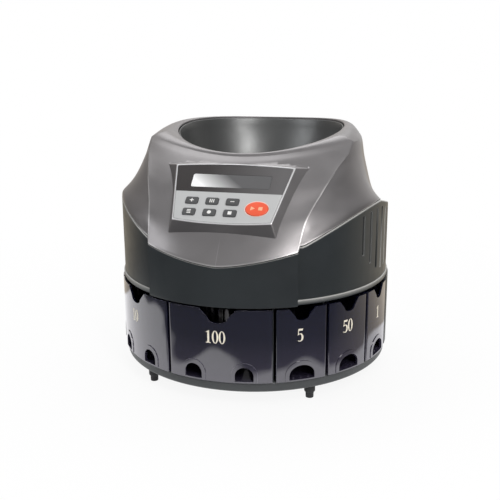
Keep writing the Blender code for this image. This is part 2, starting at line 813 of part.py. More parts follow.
def build_upper_housing(panel):
    """Make the upper housing: a shell with the panel's hollow pedestal standing on its front cover."""
    outer, inner = shell_columns()
    base = SKIRT_Z + SEAM_GAP
    shell = capped_loft("upper_housing", [placed(column, base) for column in outer])
    shell.data.materials.append(material("housing_silver", "upper_housing"))
    join(shell, pedestal_block(shell))
    hollow = []
    for column in inner:
        top = (column[0][0], column[0][1], column[0][2] + HOUSING_WALL + BROW_W)
        low = (column[-1][0], column[-1][1], column[-1][2] - OVERRUN)
        hollow.append(placed([top] + column + [low], base))
    cut(shell, capped_loft("housing_hollow", hollow))
    cut(shell, face_prism("panel_cavity", PANEL_CAVITY_EDGE, FACE_T, PANEL_CAVITY_D, None, panel))
    cut(shell, face_prism("overlay_recess", FACE_EDGE, -OVERRUN, OVERLAY_T + GAP, None, panel))
    ledge = rounded_outline(WINDOW_W - 2 * WINDOW_LEDGE, WINDOW_H - 2 * WINDOW_LEDGE, KEY_CORNER)
    holes = [("window", ledge, (WINDOW_U, -WINDOW_V, 0.0))] + face_holes()
    through = ((GAP, -FACE_T - OVERRUN), (GAP, OVERRUN))
    tools = [stacked("hole", outline, through, None, panel, at) for _, outline, at in holes]
    cut(shell, gather("face_holes", tools))
    post = rounded_outline(2 * KEYPAD_POST_R, 2 * KEYPAD_POST_R, KEYPAD_POST_R)
    length = ((0.0, -keypad_depth() + GAP), (0.0, -FACE_T + GAP))
    tools = [stacked("post", post, length, None, panel, (u, -v, 0.0)) for u, v in keypad_posts()]
    join(shell, gather("keypad_posts", tools))
    return shell


def keypad_depth():
    """Give the depth of the keypad board's front behind the face."""
    return FACE_T + GAP + KEY_FLANGE_T + KEY_STEM + KEY_TRAVEL + GAP


def keypad_posts():
    """List where the keypad board's four posts stand on the face."""
    u = KEYPAD_W / 2 - KEYPAD_POST_R - GAP
    v = KEYPAD_H / 2 - KEYPAD_POST_R - GAP
    return [(sx * u, KEYPAD_V + sy * v) for sx in (-1, 1) for sy in (-1, 1)]


def key_places():
    """List each key: name, outline function, place on the face and material."""
    small = rounded_outline(KEY_W, KEY_H, KEY_CORNER)
    places = []
    for names, v in zip(KEY_NAMES, KEY_ROWS):
        for name, u in zip(names, KEY_COLUMNS):
            places.append((name, small, (u, -v, 0.0), "key_grey"))
    oval = oval_outline(START_W, START_H)
    places.append(("key_start_stop", oval, (START_U, -START_V, 0.0), "key_red"))
    return places


def face_holes():
    """List the holes that the keys pass through."""
    return [(name, outline, at) for name, outline, at, _ in key_places()]


def build_overlay(panel):
    """Make the thin printed overlay, with a hole for each key and for the window."""
    overlay = face_prism("control_overlay", FACE_EDGE + GAP, 0.0, OVERLAY_T, "overlay", panel)
    window = rounded_outline(WINDOW_W, WINDOW_H, WINDOW_LEDGE)
    at = (WINDOW_U, -WINDOW_V, 0.0)
    through = ((GAP, -OVERLAY_T - OVERRUN), (GAP, OVERRUN))
    holes = face_holes() + [("window", window, at)]
    tools = [stacked("hole", outline, through, None, panel, place) for _, outline, place in holes]
    cut(overlay, gather("overlay_holes", tools))
    stacked("lcd_window", window, ((0.0, -OVERLAY_T), (0.0, 0.0)), "window", panel, at)


def build_keys(panel):
    """Make the keys, each held under the face by a flange."""
    low = -FACE_T - GAP - KEY_FLANGE_T - KEY_STEM
    for name, outline, at, kind in key_places():
        sections = (
            (-KEY_FLANGE, low), (-KEY_FLANGE, low + KEY_STEM), (KEY_FLANGE, low + KEY_STEM),
            (KEY_FLANGE, -FACE_T - GAP), (0.0, -FACE_T - GAP), (0.0, KEY_PROUD - KEY_ROUND),
            (-KEY_ROUND, KEY_PROUD),
        )
        stacked(name, outline, sections, kind, panel, at)


def build_display(panel):
    """Make the display module and the keypad board behind the face."""
    lcd = rounded_outline(LCD_W, LCD_H, KEY_CORNER, 2)
    near = -FACE_T - GAP
    at = (WINDOW_U, -WINDOW_V, 0.0)
    stacked("lcd_module", lcd, ((0.0, near - LCD_T), (0.0, near)), "black_plastic", panel, at)
    board = rounded_outline(KEYPAD_W, KEYPAD_H, KEY_CORNER, 2)
    near = -keypad_depth()
    at = (0.0, -KEYPAD_V, 0.0)
    stacked("keypad_board", board, ((0.0, near - KEYPAD_T), (0.0, near)), "board_green", panel, at)


def skirt_radius(front):
    """Give the skirt's outer radius on its front part or on its sides."""
    return SKIRT_FRONT_R if front else SKIRT_R


def skirt_section(deg, outer_r, housing_r, front):
    """List the closed section of the lower housing at an angle."""
    top = seam_height(deg)
    lip = 0.0 if front else SKIRT_LIP
    inner_r = outer_r - SKIRT_WALL
    seat = DECK_T + GAP
    tuck_r = housing_r - HOUSING_WALL - FLANGE_TUCK
    rounding = SKIRT_ROUND / 2 if front else SKIRT_ROUND
    eased = rounding * ROUND_EASE_SHARE
    return [
        (outer_r + lip, 0.0), (outer_r + lip, SKIRT_LIP_H), (outer_r, SKIRT_LIP_H + SKIRT_LIP),
        (outer_r, top - rounding), (outer_r - eased, top - eased),
        (outer_r - rounding, top), (tuck_r, top), (tuck_r, top - SKIRT_FLANGE_T),
        (min(inner_r, tuck_r + FLANGE_TUCK), top - SKIRT_FLANGE_T - GAP),
        (inner_r, top - SKIRT_FLANGE_T * 2),
        (inner_r, seat + SKIRT_SHELF * 2), (SKIRT_SHELF_R, seat + SKIRT_SHELF), (SKIRT_SHELF_R, seat),
        (inner_r, seat), (inner_r, 0.0),
    ]


def build_lower_housing():
    """Make the dark lower housing, which stands on the deck's edge and carries the upper housing."""
    half, crease = half_columns()
    loops = []
    columns = both_sides(half)
    for i, column in enumerate(columns):
        deg, housing_r, _ = column[-1]
        place = min(i, len(columns) - i)
        front = place <= crease
        section = skirt_section(deg, skirt_radius(front), housing_r, front)
        inner_deg = deg
        if place == crease:
            inner_deg = deg - math.copysign(STEP_WALL_DEG, deg)
        degs = [deg if k <= TUCK_POINT else inner_deg for k in range(len(section))]
        loops.append([polar(r, d, SKIRT_Z + h) for (r, h), d in zip(section, degs)])
    skirt = loop_body("lower_housing", loops, "skirt_dark")
    vents = []
    for side in (-1, 1):
        for i in range(VENT_COUNT):
            deg = VENT_FIRST_DEG + VENT_PITCH_DEG * i
            share = min(1.0, i / 3.0)
            low = VENT_FIRST_H + (VENT_LOW_H - VENT_FIRST_H) * math.sin(math.pi / 2 * share)
            high = seam_height(deg) - VENT_TOP_DROP
            size = (VENT_W, SKIRT_WALL + 2 * OVERRUN, high - low)
            at = (0.0, -(SKIRT_R - SKIRT_WALL / 2), SKIRT_Z + low)
            vents.append(block("vent", size, at, None, side * deg))
    cut(skirt, gather("vents", vents))


def notch_outline(width, depth, top):
    """List a finger notch: sloping shoulders that run into a round bottom."""
    half = width / 2
    slope, r, rise = width * NOTCH_SLOPE_SHARE, width * NOTCH_ROUND_SHARE, depth * NOTCH_RISE_SHARE
    shoulder = top - depth * NOTCH_SHOULDER_SHARE
    points = [(-half, top + OVERRUN), (-half, top), (-half + slope, shoulder)]
    for i in range(ARC_STEPS + 1):
        a = math.pi * (1 + i / ARC_STEPS)
        points.append((r * math.cos(a), top - depth + rise * (1 + math.sin(a))))
    points += [(half - slope, shoulder), (half, top), (half, top + OVERRUN)]
    return points


def arch_outline(width, height, low):
    """List a round-topped arch that stands at a low edge."""
    half = width / 2
    spring = low + max(height - half, height * ARCH_SPRING_SHARE)
    points = [(-half, low), (half, low)]
    for i in range(ARC_STEPS + 1):
        a = math.pi * i / ARC_STEPS
        points.append((half * math.cos(a), spring + (low + height - spring) * math.sin(a)))
    return points


def build_drawer(name, centre, width, empty):
    """Make one coin drawer: a wedge-shaped tray that slides out from the axis."""
    middle = centre * PITCH_DEG
    half = width * PITCH_DEG / 2
    span = (middle - half, middle + half)
    r_in = CORE_R + GAP
    top = DRAWER_Z + DRAWER_H
    margin = SEAM / 2
    drawer = sector("drawer_" + name, r_in, RING_R, DRAWER_Z, top, span, margin, "drawer_smoke")
    inside = (r_in + DRAWER_WALL, RING_R - DRAWER_WALL, DRAWER_Z + DRAWER_FLOOR, top + OVERRUN)
    cut(drawer, sector("inside_" + name, *inside, span, margin + DRAWER_WALL))
    wide = width > 1.0
    notch = (NOTCH_W, NOTCH_D) if wide else (NARROW_NOTCH_W, NARROW_NOTCH_D)
    near, far = RING_R - 4 * DRAWER_WALL, RING_R + OVERRUN
    openings = [through_front("notch", notch_outline(*notch, top), near, far, middle)]
    arch_w = ARCH_W if wide else NARROW_ARCH_W
    arch = arch_outline(arch_w, ARCH_H - DRAWER_FLOOR, DRAWER_Z + DRAWER_FLOOR)
    for side in ((-1, 1) if wide else (0,)):
        openings.append(through_front("arch", arch, near, far, middle + side * ARCH_SPREAD_DEG))
    cut(drawer, gather("openings_" + name, openings))
    ribs = []
    size = (FLOOR_RIB_W, RING_R - DRAWER_WALL - SLOT_IN_R, FLOOR_RIB_H + GAP)
    for side in (-1, 0, 1):
        across = side * arch_w * RIB_SPREAD_SHARE
        at = (across, -(RING_R - DRAWER_WALL * 2 - size[1] / 2), DRAWER_Z + DRAWER_FLOOR - GAP)
        ribs.append(block("rib", size, at, None, middle))
    join(drawer, gather("ribs_" + name, ribs))
    drawer.parent = empty
    drawer.matrix_parent_inverse = empty.matrix_world.inverted()


def hinge_point(name, location, deg=0.0):
    """Make an empty on a joint's axis."""
    empty = bpy.data.objects.new(name, None)
    empty.matrix_world = Matrix.Translation(location) @ turn(deg)
    bpy.context.scene.collection.objects.link(empty)
    bpy.context.view_layer.update()
    return empty


def build_drawers():
    """Make the six drawers, each under an empty at the middle of its front wall."""
    for name, centre, width in DRAWER_SHARES:
        deg = centre * PITCH_DEG
        empty = hinge_point("slide_" + name, polar(RING_R, deg, DRAWER_Z + DRAWER_H / 2), deg)
        build_drawer(name, centre, width, empty)


def bay_span(x, width):
    """Give how far a level piece reaches, front and back, in the bay between the core and the rear wall."""
    inner, outer = abs(x) - width / 2, abs(x) + width / 2
    near = math.sqrt((CORE_R + BAY_CORE_CLEAR) ** 2 - inner ** 2)
    far = math.sqrt((RING_R - REAR_WALL - BAY_WALL_CLEAR) ** 2 - outer ** 2)
    return near, far


def build_base():
    """Make the base tray with its dividers, and the four feet plugged into it."""
    profile = (
        (0, BASE_Z), (BASE_R - BASE_BEVEL, BASE_Z), (BASE_R, BASE_Z + BASE_BEVEL),
        (BASE_R, TRAY_Z - BASE_BEVEL / 2), (BASE_R - BASE_BEVEL / 2, TRAY_Z), (0, TRAY_Z),
    )
    tray = turned("base_tray", profile, "base_grey", LARGE_STEPS)
    r_in, r_out = CORE_R + GAP, RING_R - DIVIDER_SETBACK
    fixtures = []
    for pitches in DIVIDER_SHARES:
        size = (DIVIDER_T, r_out - r_in, DRAWER_H + DECK_GAP + GAP)
        at = (0.0, -(r_in + r_out) / 2, TRAY_Z - GAP)
        fixtures.append(block("divider", size, at, None, pitches * PITCH_DEG))
    near, far = bay_span(BOARD_X, BOARD_W)
    for side in (-1, 1):
        for y in (near + POST_R * 2, far - POST_R * 2):
            at = (BOARD_X + side * (BOARD_W / 2 - POST_R * 2), y)
            fixtures.append(cylinder("post", POST_R, TRAY_Z - GAP, TRAY_Z + POST_H, None, SCREW_STEPS, at))
    join(tray, gather("tray_fixtures", fixtures))
    sockets = []
    for number, deg in enumerate(FOOT_ANGLES, 1):
        place = polar(FOOT_RING_R, deg, 0.0)
        at = (place.x, place.y)
        low, high = BASE_Z - OVERRUN, BASE_Z + STEM_H + GAP
        sockets.append(cylinder("socket", STEM_R + GAP, low, high, None, SMALL_STEPS, at))
        toe_top, tip = FOOT_H * TOE_SHARE, BASE_Z + STEM_H
        foot = (
            (0, 0.0), (FOOT_TOE_R, 0.0), (FOOT_TOE_R, toe_top), (FOOT_R, toe_top + FOOT_STEP),
            (FOOT_R, FOOT_H - GAP), (STEM_R, FOOT_H - GAP), (STEM_R, tip), (0, tip),
        )
        turned("foot_%d" % number, foot, "rubber", SMALL_STEPS, at)
    cut(tray, gather("foot_sockets", sockets))


def build_core():
    """Make the core ring that carries the deck, and the deck with its screws."""
    low, high = TRAY_Z + GAP, DECK_Z - GAP
    inner = CORE_R - CORE_WALL
    core = turned("core_ring", ((inner, low), (CORE_R, low), (CORE_R, high), (inner, high)), "base_grey")
    bore = BEARING_R + BEARING_WALL + 2 * GAP
    deck_profile = ((bore, DECK_Z), (DECK_R, DECK_Z), (DECK_R, DECK_TOP_Z), (bore, DECK_TOP_Z))
    deck = turned("sorting_deck", deck_profile, "base_grey", LARGE_STEPS)
    boss_r = CORE_R - CORE_WALL - BOSS_R + OVERRUN / 2
    bosses, pilots, openings = [], [], []
    for number, deg in enumerate(BOSS_ANGLES, 1):
        place = polar(boss_r, deg, 0.0)
        at = (place.x, place.y)
        hole_r = SCREW_R + GAP
        bosses.append(cylinder("boss", BOSS_R, DECK_Z - GAP - SCREW_L, high, None, SMALL_STEPS, at))
        tip = DECK_TOP_Z - SCREW_L + SCREW_HEAD_H
        head = DECK_TOP_Z + GAP
        pilots.append(cylinder("pilot", hole_r, tip - DECK_T - 2 * GAP, DECK_Z, None, SCREW_STEPS, at))
        span = (DECK_Z - OVERRUN, DECK_TOP_Z + OVERRUN)
        openings.append(cylinder("hole", hole_r, *span, None, SCREW_STEPS, at))
        screw = ((0, tip), (SCREW_R, tip), (SCREW_R, head), (SCREW_HEAD_R, head),
                 (SCREW_HEAD_R, head + SCREW_HEAD_H), (0, head + SCREW_HEAD_H))
        turned("deck_screw_%d" % number, screw, "steel", SCREW_STEPS, at)
    for name, centre, _ in DRAWER_SHARES:
        half = math.degrees((COIN_WIDTHS[name] + SLOT_EXTRA) / 2 / SLOT_OUT_R)
        middle = centre * PITCH_DEG
        span = (middle - half, middle + half)
        openings.append(sector("slot", SLOT_IN_R, SLOT_OUT_R, DECK_Z - OVERRUN, DECK_TOP_Z + OVERRUN, span))
    join(core, gather("bosses", bosses))
    cut(core, gather("pilots", pilots))
    cut(deck, gather("deck_openings", openings))


def build_rear_cover():
    """Make the closed rear wall, with holes for the mains inlet and the switch."""
    edge = DIVIDER_SHARES[-1] * PITCH_DEG
    low, high = TRAY_Z + GAP, DECK_Z - GAP
    span, step = (edge, 360.0 - edge), REAR_ARC_STEP_DEG
    cover = sector("rear_cover", CORE_R + GAP, RING_R, low, high, span, SEAM / 2, "base_grey", step)
    inside = sector("rear_inside", CORE_R - OVERRUN, RING_R - REAR_WALL, low - OVERRUN, high + OVERRUN,
                    span, SEAM / 2 + REAR_WALL, None, step)
    cut(cover, inside)
    holes = []
    for deg, width, height in ((INLET_DEG, INLET_W, INLET_H), (SWITCH_DEG, SWITCH_W, SWITCH_H)):
        size = (width + 2 * GAP, REAR_WALL * 4, height + 2 * GAP)
        at = (0.0, -(RING_R - REAR_WALL), INLET_Z - height / 2 - GAP)
        holes.append(block("hole", size, at, None, deg))
    cut(cover, gather("rear_holes", holes))


def wall_piece(name, kind, deg, width, height, depth):
    """Make a mains part: a body through the rear wall with a flange outside it."""
    body = (width, depth, height)
    face_r = RING_R + GAP
    piece = block(name, body, (0.0, -(face_r - depth / 2 + GAP), INLET_Z - height / 2), kind, deg)
    size = (width + 2 * FLANGE_LIP, PANEL_FLANGE_T, height + 2 * FLANGE_LIP)
    at = (0.0, -(face_r + PANEL_FLANGE_T / 2), INLET_Z - size[2] / 2)
    join(piece, block(name + "_flange", size, at, None, deg))
    return piece


def build_mains():
    """Make the mains inlet, the switch, the power supply and the main board."""
    inlet = wall_piece("power_inlet", "black_plastic", INLET_DEG, INLET_W, INLET_H, INLET_D)
    face_r = RING_R + GAP + PANEL_FLANGE_T
    size = (SOCKET_W, SOCKET_D + OVERRUN, SOCKET_H)
    at = (0.0, -(face_r + OVERRUN - size[1] / 2), INLET_Z - SOCKET_H / 2)
    cut(inlet, block("inlet_socket", size, at, None, INLET_DEG))
    frame = wall_piece("switch_frame", "black_plastic", SWITCH_DEG, SWITCH_W, SWITCH_H, SWITCH_D)
    well_d = SWITCH_D + PANEL_FLANGE_T - SWITCH_WALL
    size = (SWITCH_W - 2 * SWITCH_WALL, well_d + OVERRUN, SWITCH_H - 2 * SWITCH_WALL)
    at = (0.0, -(face_r + OVERRUN - size[1] / 2), INLET_Z - size[2] / 2)
    cut(frame, block("switch_well", size, at, None, SWITCH_DEG))
    build_rocker(face_r)
    near, far = bay_span(PSU_X, PSU_W)
    middle = (near + far) / 2
    block("power_supply", (PSU_W, far - near, PSU_H), (PSU_X, middle, TRAY_Z + GAP), "motor_metal")
    near, far = bay_span(BOARD_X, BOARD_W)
    middle = (near + far) / 2
    low = TRAY_Z + POST_H + GAP
    board = block("main_board", (BOARD_W, far - near, BOARD_T), (BOARD_X, middle, low), "board_green")
    join(board, block("chip", CHIP_SIZE, (BOARD_X, middle, low + BOARD_T - GAP)))


def build_rocker(face_r):
    """Make the switch rocker: a shallow V of two faces that tilts about a level pin."""
    half_h = SWITCH_H / 2 - SWITCH_WALL - 2 * GAP
    half_w = SWITCH_W / 2 - SWITCH_WALL - GAP
    pivot_r = face_r - ROCKER_DEPTH
    tilt = math.radians(ROCKER_TILT_DEG)
    inner = (half_h - ROCKER_DEPTH * math.sin(tilt)) / math.cos(tilt)
    section = [(0.0, ROCKER_DEPTH - inner * math.tan(tilt)), (inner, ROCKER_DEPTH)]
    for i in range(ARC_STEPS + 1):
        a = math.pi * i / ARC_STEPS
        section.append((inner * math.cos(a), -inner * ROCKER_BELLY_SHARE * math.sin(a)))
    section.append((-inner, ROCKER_DEPTH))
    verts = []
    for x in (-half_w, half_w):
        for z, out in section:
            turned_z = z * math.cos(tilt) - out * math.sin(tilt)
            turned_out = z * math.sin(tilt) + out * math.cos(tilt)
            verts.append(turn(SWITCH_DEG) @ Vector((x, -(pivot_r + turned_out), INLET_Z + turned_z)))
    n = len(section)
    faces = [(i, (i + 1) % n, n + (i + 1) % n, n + i) for i in range(n)]
    faces += [tuple(range(n)), tuple(range(n, 2 * n))]
    rocker = mesh_object("switch_rocker", verts, faces, "black_plastic")
    pin = hinge_point("rocker_pin", turn(SWITCH_DEG) @ Vector((0.0, -pivot_r, INLET_Z)), SWITCH_DEG)
    rocker.parent = pin
    rocker.matrix_parent_inverse = pin.matrix_world.inverted()


def build_rail():
    """Make the graded coin rail on the deck and the sensor beside each of its exits."""
    outer = RAIL_R + RAIL_WALL
    profile = ((RAIL_R, RAIL_Z), (outer, RAIL_Z), (outer, RAIL_TOP_Z), (RAIL_R, RAIL_TOP_Z))
    rail = turned("sorting_rail", profile, "steel", LARGE_STEPS)
    middle_r = RAIL_R + RAIL_WALL / 2
    exits = []
    for name, centre, _ in DRAWER_SHARES:
        deg, coin = centre * PITCH_DEG, COIN_WIDTHS[name]
        size = (coin + EXIT_EXTRA, RAIL_WALL + 2 * OVERRUN, EXIT_DROP + OVERRUN)
        exits.append(block("exit", size, (0.0, -middle_r, RAIL_TOP_Z - EXIT_DROP), None, deg))
        place_r = RAIL_R + RAIL_WALL + 2 * GAP + SENSOR_D / 2
        aside = math.degrees((coin + EXIT_EXTRA + SENSOR_W) / 2 / place_r) * (1 if deg <= 0 else -1)
        size = (SENSOR_W, SENSOR_D, SENSOR_H)
        block("coin_sensor_" + name, size, (0.0, -place_r, RAIL_Z), "black_plastic", deg + aside)
    cut(rail, gather("rail_exits", exits))


def build_disc():
    """Make the sorting disc, its feed cone, its shaft and the bearings that carry it."""
    empty = hinge_point("disc_axis", Vector((0.0, 0.0, DISC_Z)))
    bore = SHAFT_R + GAP
    hub_low = DECK_TOP_Z + GAP + FLANGE_T + GAP
    disc = (
        (bore, hub_low), (DISC_HUB_R, hub_low), (DISC_HUB_R, DISC_Z), (DISC_R, DISC_Z),
        (DISC_R, DISC_TOP_Z), (bore, DISC_TOP_Z),
    )
    top = DISC_TOP_Z + GAP
    shaft_top = DISC_TOP_Z + OVERRUN
    cone = (
        (0, shaft_top + GAP), (bore, shaft_top + GAP), (bore, top), (CONE_R, top),
        *[(CONE_R * r, top + CONE_H * h) for r, h in CONE_SHARES], (0, top + CONE_H),
    )
    low = PULLEY_Z - GAP
    shaft = ((0, low), (SHAFT_R, low), (SHAFT_R, shaft_top), (0, shaft_top))
    pieces = [
        turned("sorting_disc", disc, "steel"), turned("feed_cone", cone, "black_plastic", PULLEY_STEPS),
        turned("disc_shaft", shaft, "steel", SMALL_STEPS),
        pulley("disc_pulley", DISC_PULLEY_R, bore, (0.0, 0.0)),
    ]
    for piece in pieces:
        piece.parent = empty
        piece.matrix_parent_inverse = empty.matrix_world.inverted()
    build_bearings()


def build_bearings():
    """Make the flanged bearing housing in the deck and its two bearings."""
    top = DECK_TOP_Z + GAP + FLANGE_T
    span = 2 * BEARING_T + BEARING_SPREAD
    low = top - span - 2 * GAP - BEARING_WALL / 2
    outer = BEARING_R + BEARING_WALL
    seat = BEARING_R + GAP
    throat = BEARING_R - BEARING_WALL / 2
    rest, ledge = DECK_TOP_Z + GAP, low + BEARING_WALL / 2
    housing = (
        (throat, low), (outer, low), (outer, rest), (FLANGE_R, rest), (FLANGE_R, top),
        (seat, top), (seat, ledge), (throat, ledge),
    )
    turned("bearing_housing", housing, "motor_metal", PULLEY_STEPS)
    lower = ledge + GAP
    spacer_low = lower + BEARING_T + GAP
    upper = lower + BEARING_T + BEARING_SPREAD
    for name, z in (("lower_bearing", lower), ("upper_bearing", upper)):
        bore, high = SHAFT_R + GAP, z + BEARING_T
        ring = ((bore, z), (BEARING_R, z), (BEARING_R, high), (bore, high))
        turned(name, ring, "steel", PULLEY_STEPS)
    high = upper - GAP
    spacer = ((throat, spacer_low), (BEARING_R, spacer_low), (BEARING_R, high), (throat, high))
    turned("bearing_spacer", spacer, "motor_metal", PULLEY_STEPS)


def pulley(name, r, bore, at):
    """Make a flanged belt pulley."""
    low, high = PULLEY_Z, PULLEY_TOP_Z
    rim = r + PULLEY_LIP
    profile = (
        (bore, low), (rim, low), (rim, low + PULLEY_RIM), (r, low + PULLEY_RIM), (r, high - PULLEY_RIM),
        (rim, high - PULLEY_RIM), (rim, high), (bore, high),
    )
    return turned(name, profile, "black_plastic", PULLEY_STEPS, at)


def belt_loop(gap, steps=PULLEY_STEPS):
    """List the belt's path round both pulleys, at a gap outside them."""
    big, small = DISC_PULLEY_R + gap, MOTOR_PULLEY_R + gap
    tilt = math.asin((big - small) / MOTOR_OFFSET)
    points = []
    arcs = ((0.0, big, math.pi - tilt, 2 * math.pi + tilt), (MOTOR_OFFSET, small, tilt, math.pi - tilt))
    for centre, r, start, end in arcs:
        for i in range(steps + 1):
            a = start + (end - start) * i / steps
            points.append((r * math.cos(a), centre + r * math.sin(a)))
    return points


def build_drive():
    """Make the motor, its shaft and pulley, the bracket under the deck and the belt."""
    at = (0.0, MOTOR_OFFSET)
    bore = MOTOR_SHAFT_R + GAP
    top, low = MOTOR_TOP_Z, MOTOR_TOP_Z - MOTOR_H
    pit = top - MOTOR_BORE_D
    body = ((0, low), (MOTOR_R, low), (MOTOR_R, top), (bore, top), (bore, pit), (0, pit))
    turned("drive_motor", body, "motor_metal", PULLEY_STEPS, at)
    empty = hinge_point("motor_axis", Vector((at[0], at[1], PULLEY_Z)))
    shaft_low = pit + GAP
    pieces = [
        cylinder("motor_shaft", MOTOR_SHAFT_R, shaft_low, PULLEY_TOP_Z, "steel", SMALL_STEPS, at),
        pulley("motor_pulley", MOTOR_PULLEY_R, bore, at),
    ]
    for piece in pieces:
        piece.parent = empty
        piece.matrix_parent_inverse = empty.matrix_world.inverted()
    build_bracket(at)
    outer, inner = belt_loop(GAP + BELT_T), belt_loop(GAP)
    low_z, high_z = PULLEY_Z + PULLEY_RIM + GAP, PULLEY_TOP_Z - PULLEY_RIM - GAP
    loops = []
    for (ox, oy), (ix, iy) in zip(outer, inner):
        loops.append([(ox, oy, low_z), (ox, oy, high_z), (ix, iy, high_z), (ix, iy, low_z)])
    loop_body("drive_belt", loops, "belt_black")


def build_bracket(at):
    """Make the motor bracket: a plate over the motor, hung from the deck by two posts."""
    low = BRACKET_TOP_Z - BRACKET_T
    size = (2 * MOTOR_R + 2 * BRACKET_POST_W, BRACKET_W, BRACKET_T)
    bracket = block("motor_bracket", size, (at[0], at[1], low), "steel")
    bore = MOTOR_SHAFT_R + BRACKET_CLEAR
    cut(bracket, cylinder("bore", bore, low - OVERRUN, BRACKET_TOP_Z + OVERRUN, None, SMALL_STEPS, at))
    post = (BRACKET_POST_W, BRACKET_POST_W, DECK_Z - GAP - BRACKET_TOP_Z + GAP)
    posts = []
    for side in (-1, 1):
        x = side * (size[0] / 2 - BRACKET_POST_W / 2)
        place = (at[0] + x, at[1] + BRACKET_POST_Y, BRACKET_TOP_Z - GAP)
        posts.append(block("post", post, place))
    join(bracket, gather("bracket_posts", posts))


def bowl_section(deg):
    """List the bowl's closed section at an angle, from its lip down to the cover over the disc."""
    lip_r = rim_radius(deg, 2 * GAP)
    lip_z = SKIRT_Z + rim_height(deg) - BOWL_DROP
    neck_z = COVER_Z + COVER_T + THROAT_H
    fall = lip_z - neck_z
    width = lip_r - THROAT_R
    inner, outer = [], []
    for share in BOWL_ROW_SHARES:
        r = THROAT_R + width * (1 - share ** BOWL_IN_POWER)
        z = lip_z - fall * share ** BOWL_FALL_POWER
        inner.append((r - BOWL_WALL, z))
        outer.append((r, z - (BOWL_WALL if share > 0 else 0.0)))
    inner.append((THROAT_R - BOWL_WALL, COVER_Z))
    cover_r = RAIL_R + COVER_LAP
    tail = [(cover_r, COVER_Z), (cover_r, COVER_Z + COVER_T), (THROAT_R, COVER_Z + COVER_T)]
    return inner + tail + outer[::-1]


def build_bowl():
    """Make the hopper bowl, which stands by its cover on the coin rail."""
    loops = []
    for column in both_sides(half_columns()[0]):
        deg = column[0][0]
        loops.append([polar(r, deg, z) for r, z in bowl_section(deg)])
    loop_body("hopper_bowl", loops, "bowl_grey")


def build_machine():
    """Make the whole machine."""
    clear_scene()
    panel = bpy.data.objects.new("panel_plane", None)
    panel.matrix_world = panel_matrix()
    bpy.context.scene.collection.objects.link(panel)
    build_base()
    build_drawers()
    build_core()
    build_rear_cover()
    build_mains()
    build_rail()
    build_disc()
    build_drive()
    build_lower_housing()
    build_upper_housing(panel)
    build_bowl()
    build_overlay(panel)
    build_keys(panel)
    build_display(panel)


build_machine()
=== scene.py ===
"""Looks of a counter-top coin sorting machine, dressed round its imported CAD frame.

Lengths are metres, with +Z up. The machine's axis is the Z axis and the control panel faces -Y.
Angles are degrees round the axis, from 0 at the front, positive towards +X.
"""

import logging
import math
from contextlib import contextmanager
from dataclasses import dataclass, field, replace
from enum import Enum
from typing import Callable, Iterator, Sequence

import bpy
from mathutils import Matrix, Vector
from mathutils.bvhtree import BVHTree


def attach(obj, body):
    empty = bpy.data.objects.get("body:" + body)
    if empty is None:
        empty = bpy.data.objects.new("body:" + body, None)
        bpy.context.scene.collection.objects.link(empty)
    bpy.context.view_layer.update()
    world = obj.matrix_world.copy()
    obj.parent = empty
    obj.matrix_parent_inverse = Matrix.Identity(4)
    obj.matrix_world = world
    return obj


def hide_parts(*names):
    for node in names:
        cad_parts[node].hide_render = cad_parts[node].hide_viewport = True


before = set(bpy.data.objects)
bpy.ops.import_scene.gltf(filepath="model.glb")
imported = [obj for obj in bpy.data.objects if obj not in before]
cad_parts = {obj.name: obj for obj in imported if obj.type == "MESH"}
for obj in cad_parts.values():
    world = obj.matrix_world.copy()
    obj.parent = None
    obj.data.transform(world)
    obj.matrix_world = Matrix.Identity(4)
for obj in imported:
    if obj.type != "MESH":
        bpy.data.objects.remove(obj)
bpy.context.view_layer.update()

LOG = logging.getLogger("coin_sorter")

Colour = tuple[float, float, float]
Outline = list[Vector]
Table = Sequence[tuple[float, ...]]

# Fits shared by the pieces
GAP = 0.0003
OVERRUN = 0.003
WELD = 0.000001
SMOOTH_DEG = 32.0
CORNER_TURN_DEG = 12.0
# Name of the mesh attribute that holds how strong the painted edge highlight is at each point
EDGE_HIGHLIGHT_MARK = "painted_edge_highlight"

# Round body: the heights that the pieces stand on, and the radii that they share
RING_R = 0.1597
BASE_Z = 0.015
TRAY_Z = 0.0264
DRAWER_Z = 0.0267
DRAWER_H = 0.081
DECK_Z = 0.111
COVER_Z = 0.1266
CORE_R = 0.0693
PITCH_DEG = 21.6
SEAM_HALF = 0.0017


class Slot(Enum):
    """Material slots of the record."""

    HOUSING = "housing_metallic"
    SKIRT = "skirt_charcoal"
    BASE = "base_grey"
    RUBBER = "foot_rubber"
    DRAWER = "drawer_smoke"
    BOWL = "bowl_metallic"
    OVERLAY = "overlay_print"
    WINDOW = "window_clear"
    KEY = "key_grey"
    START = "key_red"
    BLACK = "black_plastic"
    STEEL = "steel"


# Finishes


